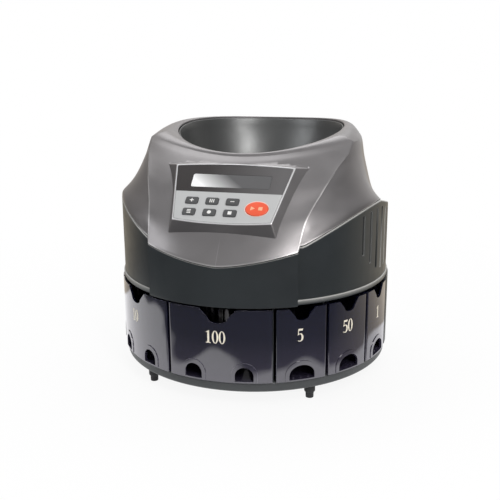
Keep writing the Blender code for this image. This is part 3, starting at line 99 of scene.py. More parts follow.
class Nodes:
    """Builds the node network of one material."""

    def __init__(self, name: str) -> None:
        """Start a material with a Principled shader.

        Args:
            name: the material's name.
        """
        self.material = bpy.data.materials.new(name)
        self.material.use_nodes = True
        self.tree = self.material.node_tree
        self.shader = self.tree.nodes["Principled BSDF"]
        self.place = self.add("ShaderNodeTexCoord").outputs["Object"]

    def add(self, kind: str, **values: object) -> bpy.types.Node:
        """Add a node and set its attributes.

        Args:
            kind: the node's type.
            values: attributes of the node.

        Returns:
            The new node.
        """
        node = self.tree.nodes.new(kind)
        for key, value in values.items():
            setattr(node, key, value)
        return node

    def link(self, output: bpy.types.NodeSocket, target: bpy.types.NodeSocket) -> None:
        """Join an output to an input."""
        self.tree.links.new(output, target)

    def noise(self, scale: float, detail: float = 3.0,
              stretch: Colour = (1.0, 1.0, 1.0)) -> bpy.types.NodeSocket:
        """Add noise on the object's own coordinates.

        Args:
            scale: how fine the noise is.
            detail: how many layers it has.
            stretch: how much finer it is along each axis.

        Returns:
            The noise's value from 0 to 1.
        """
        mapping = self.add("ShaderNodeMapping")
        mapping.inputs["Scale"].default_value = stretch
        self.link(self.place, mapping.inputs["Vector"])
        noise = self.add("ShaderNodeTexNoise")
        noise.inputs["Scale"].default_value = scale
        noise.inputs["Detail"].default_value = detail
        self.link(mapping.outputs["Vector"], noise.inputs["Vector"])
        return noise.outputs["Fac"]

    def ranged(self, value: bpy.types.NodeSocket, start: float, end: float, low: float = 0.0,
               high: float = 1.0) -> bpy.types.NodeSocket:
        """Stretch a value from one range to another, held at its ends.

        Args:
            value: the value to stretch.
            start: the value that becomes low.
            end: the value that becomes high.
            low: the result at start.
            high: the result at end.

        Returns:
            The stretched value.
        """
        node = self.add("ShaderNodeMapRange", clamp=True)
        for key, amount in zip(("From Min", "From Max", "To Min", "To Max"), (start, end, low, high)):
            node.inputs[key].default_value = amount
        self.link(value, node.inputs["Value"])
        return node.outputs["Result"]

    def mixed(self, share: bpy.types.NodeSocket, first: object, second: object) -> bpy.types.NodeSocket:
        """Mix two colours, each given as a colour or as an output.

        Args:
            share: how much of the second colour shows.
            first: the colour at share 0.
            second: the colour at share 1.

        Returns:
            The mixed colour.
        """
        node = self.add("ShaderNodeMix", data_type="RGBA")
        self.link(share, node.inputs[0])
        for key, colour in ((6, first), (7, second)):
            if isinstance(colour, bpy.types.NodeSocket):
                self.link(colour, node.inputs[key])
            else:
                node.inputs[key].default_value = (*colour, 1.0)
        return node.outputs[2]

    def product(self, first: bpy.types.NodeSocket, second: bpy.types.NodeSocket) -> bpy.types.NodeSocket:
        """Multiply two values."""
        node = self.add("ShaderNodeMath", operation="MULTIPLY")
        self.link(first, node.inputs[0])
        self.link(second, node.inputs[1])
        return node.outputs[0]

    def ramp(self, value: bpy.types.NodeSocket,
             stops: Sequence[tuple[float, Colour]]) -> bpy.types.NodeSocket:
        """Turn a value from 0 to 1 into a colour by stops.

        Args:
            value: the value.
            stops: places from 0 to 1 with their colours, in rising order.

        Returns:
            The colour.
        """
        node = self.add("ShaderNodeValToRGB")
        elements = node.color_ramp.elements
        node.color_ramp.interpolation = "B_SPLINE"
        for place, colour in stops[1:-1]:
            elements.new(place).color = (*colour, 1.0)
        for element, (place, colour) in ((elements[0], stops[0]), (elements[len(elements) - 1], stops[-1])):
            element.position = place
            element.color = (*colour, 1.0)
        self.link(value, node.inputs[0])
        return node.outputs[0]

    def along(self, direction: Vector) -> bpy.types.NodeSocket:
        """Measure the surface point along a direction, in metres."""
        node = self.add("ShaderNodeVectorMath", operation="DOT_PRODUCT")
        node.inputs[1].default_value = direction
        self.link(self.place, node.inputs[0])
        return node.outputs["Value"]


@dataclass(frozen=True)
class Finish:
    """A moulded, painted or machined surface with its own grain, mottling and wear, and a painted highlight
    on marked edges when it has an edge colour.
    """

    name: str
    colour: Colour
    roughness: float
    metallic: float = 0.0
    coat: float = 0.0
    coat_roughness: float = 0.08
    mottle: float = 0.07
    mottle_scale: float = 14.0
    grain_scale: float = 1400.0
    grain_depth: float = 0.000012
    rough_spread: float = 0.04
    stretch: Colour = (1.0, 1.0, 1.0)
    # Colour of the painted highlight laid on marked edges, or None for no highlight
    edge: Colour | None = None

    def with_edge_highlights(self, nodes: Nodes, colour: bpy.types.NodeSocket) -> bpy.types.NodeSocket:
        """Paint a highlight onto the marked edges, where light catches them."""
        if self.edge is None:
            return colour
        mark = nodes.add("ShaderNodeAttribute", attribute_name=EDGE_HIGHLIGHT_MARK)
        return nodes.mixed(mark.outputs["Fac"], colour, self.edge)

    def base_colour(self, nodes: Nodes) -> bpy.types.NodeSocket:
        """Give the colour with its slight cloudiness and its fine specks."""
        pale = tuple(min(1.0, c * (1 + self.mottle)) for c in self.colour)
        dark = tuple(c * (1 - self.mottle) for c in self.colour)
        cloud = nodes.ranged(nodes.noise(self.mottle_scale, 4.0), 0.3, 0.7)
        colour = nodes.mixed(cloud, dark, pale)
        specks = nodes.ranged(nodes.noise(self.grain_scale * 1.7, 1.0, self.stretch), 0.35, 0.75, 0.0, 0.12)
        return nodes.mixed(specks, colour, pale)

    def make(self) -> bpy.types.Material:
        """Make the material.

        Returns:
            The new material.
        """
        nodes = Nodes(self.name)
        shader = nodes.shader
        nodes.link(self.with_edge_highlights(nodes, self.base_colour(nodes)), shader.inputs["Base Color"])
        shader.inputs["Metallic"].default_value = self.metallic
        shader.inputs["Coat Weight"].default_value = self.coat
        shader.inputs["Coat Roughness"].default_value = self.coat_roughness
        wear = nodes.noise(self.mottle_scale * 6, 5.0, self.stretch)
        low, high = self.roughness - self.rough_spread, self.roughness + self.rough_spread
        nodes.link(nodes.ranged(wear, 0.3, 0.7, low, high), shader.inputs["Roughness"])
        bump = nodes.add("ShaderNodeBump")
        bump.inputs["Strength"].default_value = 0.6
        bump.inputs["Distance"].default_value = self.grain_depth
        nodes.link(nodes.noise(self.grain_scale, 2.0, self.stretch), bump.inputs["Height"])
        nodes.link(bump.outputs["Normal"], shader.inputs["Normal"])
        return nodes.material


@dataclass(frozen=True)
class PrintedFilm(Finish):
    """The panel's film: a black display field that pales to the right, over a silver-grey key field."""

    field_dark: Colour = (0.022, 0.018, 0.018)
    field_pale: Colour = (0.105, 0.102, 0.104)
    field_end: float = 0.0365
    line: float = 0.0002

    def base_colour(self, nodes: Nodes) -> bpy.types.NodeSocket:
        """Give the printed colours by the place on the panel."""
        panel = Panel()
        silver = Finish.base_colour(self, nodes)
        across = nodes.ranged(nodes.along(Vector((1.0, 0.0, 0.0))), -0.03, 0.055)
        field = nodes.mixed(across, self.field_dark, self.field_pale)
        up = panel.matrix().to_3x3() @ Vector((0.0, 1.0, 0.0))
        level = panel.matrix().translation.dot(up) - self.field_end
        below = nodes.ranged(nodes.along(up), level + self.line, level - self.line)
        return nodes.mixed(below, field, silver)


@dataclass(frozen=True)
class HousingPaint(Finish):
    """Satin metallic paint, with a painted highlight along the rim of the panel and a faint mould line at the
    front.
    """

    # rim: pale colour of the painted highlight round the panel; the mould line is mixed a little towards it
    # too
    rim: Colour = (0.78, 0.78, 0.79)
    rim_highlight_depth: float = 0.0003
    rim_highlight_reach: float = 0.0026
    mould_line: float = 0.00035
    mould_top: float = 0.180

    def base_colour(self, nodes: Nodes) -> bpy.types.NodeSocket:
        """Give the paint's colour, with the painted highlight on the panel's rim and the mould line."""
        place = Panel().matrix()
        up = place.to_3x3() @ Vector((0.0, 1.0, 0.0))
        out = place.to_3x3() @ Vector((0.0, 0.0, 1.0))
        paint = Finish.base_colour(self, nodes)
        level = place.translation.dot(out)
        raised = nodes.ranged(nodes.along(out), level - self.rim_highlight_depth, level - self.rim_highlight_depth / 2)
        sideways = nodes.along(Vector((1.0, 0.0, 0.0)))
        bowed = nodes.add("ShaderNodeMath", operation="MULTIPLY_ADD")
        bowed.inputs[1].default_value = Panel().top_bow / Panel().top_w ** 2
        nodes.link(nodes.product(sideways, sideways), bowed.inputs[0])
        nodes.link(nodes.along(up), bowed.inputs[2])
        top = place.translation.dot(up) + self.rim_highlight_reach
        below = nodes.ranged(bowed.outputs[0], top + self.rim_highlight_depth, top)
        # Painted highlight on the raised rim round the panel
        paint = nodes.mixed(nodes.product(raised, below), paint, self.rim)
        across = nodes.add("ShaderNodeMath", operation="ABSOLUTE")
        nodes.link(sideways, across.inputs[0])
        middle = nodes.ranged(across.outputs[0], self.mould_line, self.mould_line / 2, 0.0, 0.16)
        low = nodes.ranged(nodes.along(Vector((0.0, 0.0, 1.0))), self.mould_top, self.mould_top - 0.01)
        return nodes.mixed(nodes.product(middle, low), paint, self.rim)


@dataclass(frozen=True)
class DisplayGlass(Finish):
    """The display's cover, with a painted reflection of a soft studio: bright in one corner, dull in the
    rest.
    """

    # Colours of the painted reflection in the cover
    bright: Colour = (0.92, 0.93, 0.93)
    dull: Colour = (0.105, 0.105, 0.108)

    def base_colour(self, nodes: Nodes) -> bpy.types.NodeSocket:
        """Give the painted reflection's slanting change from the bright corner to the dull one."""
        panel = Panel()
        slant = (panel.matrix().to_3x3() @ Vector((1.0, 1.2, 0.0))).normalized()
        middle = (panel.matrix() @ Vector((0.0, -panel.window_v, 0.0))).dot(slant)
        share = nodes.ranged(nodes.along(slant), middle - 0.024, middle + 0.003)
        ease = nodes.add("ShaderNodeMath", operation="POWER")
        ease.inputs[1].default_value = 0.7
        nodes.link(share, ease.inputs[0])
        dull = tuple(c * (1 + self.mottle) for c in self.dull)
        return nodes.mixed(ease.outputs[0], self.bright, dull)


@dataclass(frozen=True)
class SmokedPlastic(Finish):
    """Glossy smoke-tinted plastic, with a strong clear surface that mirrors the floor, and a painted floor
    reflection towards its foot.
    """

    # pale: colour of the painted floor reflection at the drawer's foot
    pale: Colour = (0.055, 0.049, 0.074)
    coat_ior: float = 2.0

    def base_colour(self, nodes: Nodes) -> bpy.types.NodeSocket:
        """Give the smoky tint, with a painted floor reflection that pales it towards the drawer's foot."""
        nodes.shader.inputs["Coat IOR"].default_value = self.coat_ior
        nodes.shader.inputs["Coat Tint"].default_value = (0.96, 0.93, 1.0, 1.0)
        tint = Finish.base_colour(self, nodes)
        height = nodes.along(Vector((0.0, 0.0, 1.0)))
        # Painted reflection of the floor, strongest at the foot
        low = nodes.ranged(height, DRAWER_Z + DRAWER_H * 0.6, DRAWER_Z, 0.0, 0.6)
        return nodes.mixed(low, tint, self.pale)


# Its edge colour is a painted highlight on the front cover's crease and on the housing's lower edge
HOUSING_PAINT = HousingPaint("housing_paint", (0.250, 0.241, 0.245), 0.34, 0.80, 0.1, 0.25, 0.05, 9.0, 1800.0,
                             edge=(0.62, 0.61, 0.61))
# Its edge colour is a painted highlight on the skirt's rim and on its bead
SKIRT_PLASTIC = Finish("skirt_plastic", (0.025, 0.030, 0.033), 0.34, 0.0, 0.05, 0.3, 0.10, 12.0, 1500.0,
                       0.00002, edge=(0.50, 0.50, 0.48))
BASE_PLASTIC = Finish("base_plastic", (0.058, 0.063, 0.066), 0.42, 0.0, 0.0, 0.3, 0.08, 12.0, 1500.0, 0.00002)
RUBBER = Finish("foot_rubber_finish", (0.030, 0.031, 0.032), 0.75, 0.0, 0.0, 0.3, 0.15, 60.0, 1500.0, 0.00004)
# Painted highlight on the drawers' rounded edges
SMOKE_EDGE_HIGHLIGHT = Finish("drawer_edge_highlight", (0.52, 0.50, 0.60), 0.25, 0.0, 0.5, 0.05, 0.05, 40.0, 900.0)
SMOKE = SmokedPlastic("drawer_smoke_finish", (0.0055, 0.0065, 0.018), 0.12, 0.0, 1.0, 0.03, 0.12, 10.0, 900.0,
                      0.000002)
BOWL_PAINT = Finish("bowl_paint", (0.140, 0.144, 0.144), 0.36, 0.7, 0.1, 0.25, 0.06, 8.0, 1800.0)
FILM = PrintedFilm("overlay_film", (0.47, 0.48, 0.48), 0.38, 0.0, 0.0, 0.2, 0.02, 30.0, 2400.0, 0.000006)
GLASS = DisplayGlass("display_glass", (0.5, 0.5, 0.5), 0.09, 0.0, 0.4, 0.03, 0.02, 30.0, 900.0, 0.000001)
KEY_GREY = Finish("key_grey_finish", (0.068, 0.070, 0.072), 0.42, 0.0, 0.0, 0.2, 0.08, 60.0, 2400.0)
KEY_RED = Finish("key_red_finish", (0.80, 0.100, 0.038), 0.34, 0.0, 0.15, 0.1, 0.04, 60.0, 2400.0)
LEGEND = Finish("legend_ink", (0.78, 0.78, 0.76), 0.5, 0.0, 0.0, 0.2, 0.03, 90.0, 2400.0)
WARM_LEGEND = Finish("legend_warm_ink", (0.86, 0.42, 0.25), 0.5, 0.0, 0.0, 0.2, 0.03, 90.0, 2400.0)
CREAM_INK = Finish("number_ink", (0.86, 0.80, 0.66), 0.5, 0.0, 0.0, 0.2, 0.03, 90.0, 2400.0)
BLACK_PLASTIC = Finish("black_plastic_finish", (0.018, 0.018, 0.019), 0.42, 0.0, 0.0, 0.2, 0.15, 30.0, 1600.0)
BOARD_GREEN = Finish("board_green_finish", (0.020, 0.120, 0.050), 0.45, 0.0, 0.2, 0.1, 0.2, 120.0, 1600.0)
STEEL = Finish("steel_finish", (0.52, 0.52, 0.53), 0.28, 1.0, 0.0, 0.2, 0.05, 20.0, 900.0, 0.000006, 0.07,
               (1.0, 1.0, 6.0))
ALLOY = Finish("cast_alloy_finish", (0.33, 0.33, 0.34), 0.48, 1.0, 0.0, 0.2, 0.10, 40.0, 1100.0, 0.00003,
               0.06)
BELT_RUBBER = Finish("belt_rubber", (0.016, 0.016, 0.016), 0.7, 0.0, 0.0, 0.2, 0.2, 60.0, 1500.0, 0.00003)


# Working with Blender's operators


def deselect() -> None:
    """Leave nothing selected."""
    bpy.ops.object.select_all(action="DESELECT")


def pick(obj: bpy.types.Object) -> None:
    """Select one object and make it active."""
    deselect()
    obj.select_set(True)
    bpy.context.view_layer.objects.active = obj


@contextmanager
def editing(obj: bpy.types.Object, kind: str = "VERT") -> Iterator[None]:
    """Hold an object in edit mode with all of it selected.

    Args:
        obj: the object to edit.
        kind: VERT, EDGE or FACE.

    Yields:
        Nothing.
    """
    pick(obj)
    bpy.ops.object.mode_set(mode="EDIT")
    bpy.ops.mesh.select_mode(type=kind)
    bpy.ops.mesh.select_all(action="SELECT")
    yield
    bpy.ops.object.mode_set(mode="OBJECT")


def name_new(name: str) -> bpy.types.Object:
    """Name the object that an operator has just added, and return it."""
    obj = bpy.context.object
    obj.name = name
    obj.data.name = name
    return obj


def tidy_mesh(obj: bpy.types.Object) -> None:
    """Weld doubles, drop loose ends and turn every face outwards."""
    with editing(obj):
        bpy.ops.mesh.remove_doubles(threshold=WELD)
        bpy.ops.mesh.delete_loose()
        bpy.ops.mesh.select_all(action="SELECT")
        bpy.ops.mesh.normals_make_consistent(inside=False)


def skin(name: str, sections: Sequence[Sequence[Vector]], round_trip: bool = True,
         closed_section: bool = True, painted_highlight: Callable[[int, int], float] | None = None) -> bpy.types.Object:
    """Stretch a grid over a run of sections.

    Args:
        name: the piece's name.
        sections: sections with the same number of points each.
        round_trip: whether the last section joins the first.
        closed_section: whether each section's last point joins its first.
        painted_highlight: tells, from a section's number and a point's number, how strong the painted edge
            highlight is there.

    Returns:
        The closed piece, with open ends filled.
    """
    columns = len(sections) if round_trip else len(sections) - 1
    points = len(sections[0])
    rows = points if closed_section else points - 1
    deselect()
    bpy.ops.mesh.primitive_grid_add(x_subdivisions=columns, y_subdivisions=rows, size=2.0)
    obj = name_new(name)
    marks = []
    for vertex in obj.data.vertices:
        column = round((vertex.co.x + 1.0) / 2.0 * columns) % len(sections)
        row = round((vertex.co.y + 1.0) / 2.0 * rows) % points
        vertex.co = sections[column][row]
        marks.append(painted_highlight(column, row) if painted_highlight else 0.0)
    if painted_highlight:
        # Store how strong the painted edge highlight is at each point
        obj.data.attributes.new(EDGE_HIGHLIGHT_MARK, "FLOAT", "POINT").data.foreach_set("value", marks)
    with editing(obj):
        bpy.ops.mesh.remove_doubles(threshold=WELD)
        bpy.ops.mesh.delete_loose()
        bpy.ops.mesh.select_all(action="SELECT")
        bpy.ops.mesh.fill_holes(sides=0)
        bpy.ops.mesh.select_all(action="SELECT")
        bpy.ops.mesh.normals_make_consistent(inside=False)
    return obj


def prism(name: str, outline: Outline, low: float, high: float, place: Matrix = Matrix()) -> bpy.types.Object:
    """Extrude a flat outline.

    Args:
        name: the piece's name.
        outline: points across and up the outline's own plane.
        low: where the extrusion starts along the plane's normal.
        high: where it ends.
        place: the frame that carries the finished prism to its place.

    Returns:
        The closed prism.
    """
    deselect()
    bpy.ops.mesh.primitive_circle_add(vertices=len(outline), fill_type="NGON")
    obj = name_new(name)
    for vertex, point in zip(obj.data.vertices, outline):
        vertex.co = (point[0], point[1], low)
    with editing(obj, "FACE"):
        bpy.ops.mesh.extrude_region_move(TRANSFORM_OT_translate={"value": (0.0, 0.0, high - low)})
        bpy.ops.mesh.select_all(action="SELECT")
        bpy.ops.mesh.normals_make_consistent(inside=False)
    obj.data.transform(place)
    return obj


def bar(name: str, size: Colour, middle: Sequence[float], place: Matrix = Matrix()) -> bpy.types.Object:
    """Make a block from its size and its middle, in a given frame."""
    outline = [Vector((sx * size[0] / 2 + middle[0], sy * size[1] / 2 + middle[1]))
               for sx, sy in ((1, 1), (-1, 1), (-1, -1), (1, -1))]
    return prism(name, outline, middle[2] - size[2] / 2, middle[2] + size[2] / 2, place)


def turned(name: str, profile: Sequence[Sequence[float]], steps: int = 96,
           at: Vector = Vector((0.0, 0.0, 0.0)), round_over: float = 0.0004) -> bpy.types.Object:
    """Turn a profile of radius and height about a vertical axis, with its corners eased.

    Args:
        name: the piece's name.
        profile: the section's corners as (radius, height), from the axis out and back.
        steps: how many facets go round.
        at: where the axis stands.
        round_over: how far each corner is eased.

    Returns:
        The turned piece.
    """
    closed = profile[0][0] > 0.0
    points = eased([Vector(p) for p in profile], round_over, 3, None, closed)
    sections = []
    for i in range(steps):
        deg = 360.0 * i / steps
        sections.append([polar(p[0], deg, p[1]) + at for p in points])
    return skin(name, sections, True, closed)


def combine(target: bpy.types.Object, tool: bpy.types.Object, operation: str) -> None:
    """Apply a Boolean with a tool, and remove the tool.

    Args:
        target: the piece that is changed.
        tool: the shape that is joined or cut away.
        operation: UNION, DIFFERENCE or INTERSECT.
    """
    modifier = target.modifiers.new("boolean", "BOOLEAN")
    modifier.operation = operation
    modifier.solver = "EXACT"
    modifier.object = tool
    pick(target)
    bpy.ops.object.modifier_apply(modifier=modifier.name)
    bpy.data.objects.remove(tool, do_unlink=True)


def gathered(pieces: Sequence[bpy.types.Object]) -> bpy.types.Object:
    """Join objects that don't touch into one."""
    deselect()
    for piece in pieces:
        piece.select_set(True)
    bpy.context.view_layer.objects.active = pieces[0]
    bpy.ops.object.join()
    return pieces[0]


def cut(target: bpy.types.Object, *tools: bpy.types.Object) -> None:
    """Cut tools that don't touch each other out of a piece."""
    combine(target, gathered(tools), "DIFFERENCE")


def fuse(target: bpy.types.Object, *tools: bpy.types.Object) -> None:
    """Join tools that don't touch each other to a piece."""
    combine(target, gathered(tools), "UNION")


def round_edges(obj: bpy.types.Object, width: float, segments: int = 2, angle_deg: float = 40.0,
                material: int = -1) -> None:
    """Round the sharp edges of a piece.

    Args:
        obj: the piece.
        width: how far the rounding reaches from each edge.
        segments: how many facets it has.
        angle_deg: the turn past which an edge counts as sharp.
        material: which of the piece's materials the rounding takes, or -1 for its neighbours'.
    """
    modifier = obj.modifiers.new("edge_round", "BEVEL")
    modifier.width = width
    modifier.segments = segments
    modifier.limit_method = "ANGLE"
    modifier.angle_limit = math.radians(angle_deg)
    modifier.miter_outer = "MITER_ARC"
    modifier.material = material
    pick(obj)
    bpy.ops.object.modifier_apply(modifier=modifier.name)


def smooth(obj: bpy.types.Object, weighted: bool = False) -> None:
    """Shade a piece smooth up to an angle, with flat faces kept flat if asked."""
    pick(obj)
    bpy.ops.object.shade_smooth_by_angle(angle=math.radians(SMOOTH_DEG))
    if weighted:
        modifier = obj.modifiers.new("flat_faces", "WEIGHTED_NORMAL")
        modifier.keep_sharp = True
        bpy.ops.object.modifier_apply(modifier=modifier.name)


@dataclass
class Dresser:
    """Gives each piece its finish and its body, and reports it."""

    made: dict[Finish, bpy.types.Material] = field(default_factory=dict)

    def material(self, finish: Finish) -> bpy.types.Material:
        """Give a finish's material, made the first time that it is asked for."""
        if finish not in self.made:
            self.made[finish] = finish.make()
        return self.made[finish]

    def dress(self, obj: bpy.types.Object, body: str, slot: Slot, finish: Finish, *nodes: str) -> None:
        """Finish a new piece.

        Args:
            obj: the piece.
            body: the CAD body that it moves with.
            slot: the record's slot; not used.
            finish: its surface.
            nodes: the CAD nodes that it stands for.
        """
        if obj.data.materials:
            obj.data.materials[0] = self.material(finish)
        else:
            obj.data.materials.append(self.material(finish))
        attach(obj, body)
        if nodes:
            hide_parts(*nodes)
        LOG.info("%s: %d faces on %s", obj.name, len(obj.data.polygons), body)

    def refinish(self, node: str, finish: Finish) -> None:
        """Give a CAD node that keeps its shape a better surface."""
        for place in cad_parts[node].material_slots:
            place.material = self.material(finish)


# Shapes shared by the pieces


def polar(r: float, deg: float, z: float) -> Vector:
    """Give the point at a radius and an angle round the axis."""
    a = math.radians(deg)
    return Vector((r * math.sin(a), -r * math.cos(a), z))


def turn(deg: float) -> Matrix:
    """Give the turn about the axis that carries the front to an angle."""
    return Matrix.Rotation(math.radians(deg), 4, "Z")


def facing(deg: float) -> Matrix:
    """Give the frame of a wall at an angle: x across it, y up it, z straight out of it."""
    rows = ((1.0, 0.0, 0.0, 0.0), (0.0, 0.0, -1.0, 0.0), (0.0, 1.0, 0.0, 0.0), (0.0, 0.0, 0.0, 1.0))
    upright = Matrix(rows)
    return turn(deg) @ upright


def shares(count: int) -> list[float]:
    """List even shares from 0 to 1."""
    return [i / count for i in range(count + 1)]


def curve_through(table: Table, place: float) -> float:
    """Read a smooth curve through a table of (place, value).

    Args:
        table: rows of place and value, in rising order of place.
        place: where the curve is read.

    Returns:
        The value, held at the table's ends.
    """
    if place <= table[0][0]:
        return table[0][1]
    if place >= table[-1][0]:
        return table[-1][1]
    i = next(k for k in range(len(table) - 1) if place <= table[k + 1][0])

    def slope(k: int) -> float:
        """Give the curve's slope at a row."""
        a, b = table[max(0, k - 1)], table[min(len(table) - 1, k + 1)]
        return (b[1] - a[1]) / (b[0] - a[0])

    span = table[i + 1][0] - table[i][0]
    t = (place - table[i][0]) / span
    start, end = table[i][1], table[i + 1][1]
    ease = t * t * (3 - 2 * t)
    bend = slope(i) * (t ** 3 - 2 * t ** 2 + t) + slope(i + 1) * (t ** 3 - t ** 2)
    return start + (end - start) * ease + bend * span


def eased(points: Outline, radius: float, steps: int = 3, corners: Sequence[int] | None = None,
          closed: bool = True) -> Outline:
    """Round the corners of a run of points.

    Args:
        points: the points, in the plane or in space.
        radius: how far each rounding reaches from its corner.
        steps: how many stretches each rounding has.
        corners: which points are rounded, or None for every point where the line turns.
        closed: whether the last point joins the first.

    Returns:
        The new run of points.
    """
    result = []
    last = len(points) - 1
    for i, corner in enumerate(points):
        before = points[i - 1] - corner
        after = points[(i + 1) % len(points)] - corner
        if corners is not None:
            chosen = i in corners
        elif not closed and i in (0, last):
            chosen = False
        else:
            chosen = math.pi - before.angle(after, math.pi) > math.radians(CORNER_TURN_DEG)
        if not chosen or radius <= 0.0:
            result.append(corner)
            continue
        reach = min(radius, before.length * 0.45, after.length * 0.45)
        start = corner + before.normalized() * reach
        end = corner + after.normalized() * reach
        for t in shares(steps):
            result.append(start * (1 - t) ** 2 + corner * (2 * t * (1 - t)) + end * t ** 2)
    return result


def rounded_box(width: float, height: float, corner: float, steps: int = 5) -> Outline:
    """List a rectangle with round corners, about its middle."""
    sharp = [Vector((sx * width / 2, sy * height / 2)) for sx, sy in ((1, 1), (-1, 1), (-1, -1), (1, -1))]
    return eased(sharp, corner * 1.25, steps)


def oval(width: float, height: float, steps: int = 48) -> Outline:
    """List an ellipse about its middle."""
    angles = [2 * math.pi * i / steps for i in range(steps)]
    return [Vector((width / 2 * math.cos(a), height / 2 * math.sin(a))) for a in angles]


def moved(outline: Outline, x: float, y: float) -> Outline:
    """Move an outline across its plane."""
    return [p + Vector((x, y)) for p in outline]


def wedge(r_in: float, r_out: float, span: tuple[float, float], margin: float, corner: float,
          step_deg: float = 1.2) -> Outline:
    """List the plan of a wedge between two radii.

    Args:
        r_in: the inner radius.
        r_out: the outer radius.
        span: the angles of its two sides.
        margin: how far each side is moved in, kept parallel.
        corner: how far the corners are rounded.
        step_deg: the angle between points on the arcs.

    Returns:
        The plan's points.
    """
    steps = max(2, math.ceil((span[1] - span[0]) / step_deg))
    rim = []
    for r, order in ((r_in, 1), (r_out, -1)):
        inset = math.degrees(math.asin(margin / r))
        start, end = span[0] + inset, span[1] - inset
        arc = [polar(r, start + (end - start) * t, 0.0).to_2d() for t in shares(steps)]
        rim += arc[::order]
    return eased(rim, corner, 3, [0, steps, steps + 1, 2 * steps + 1])


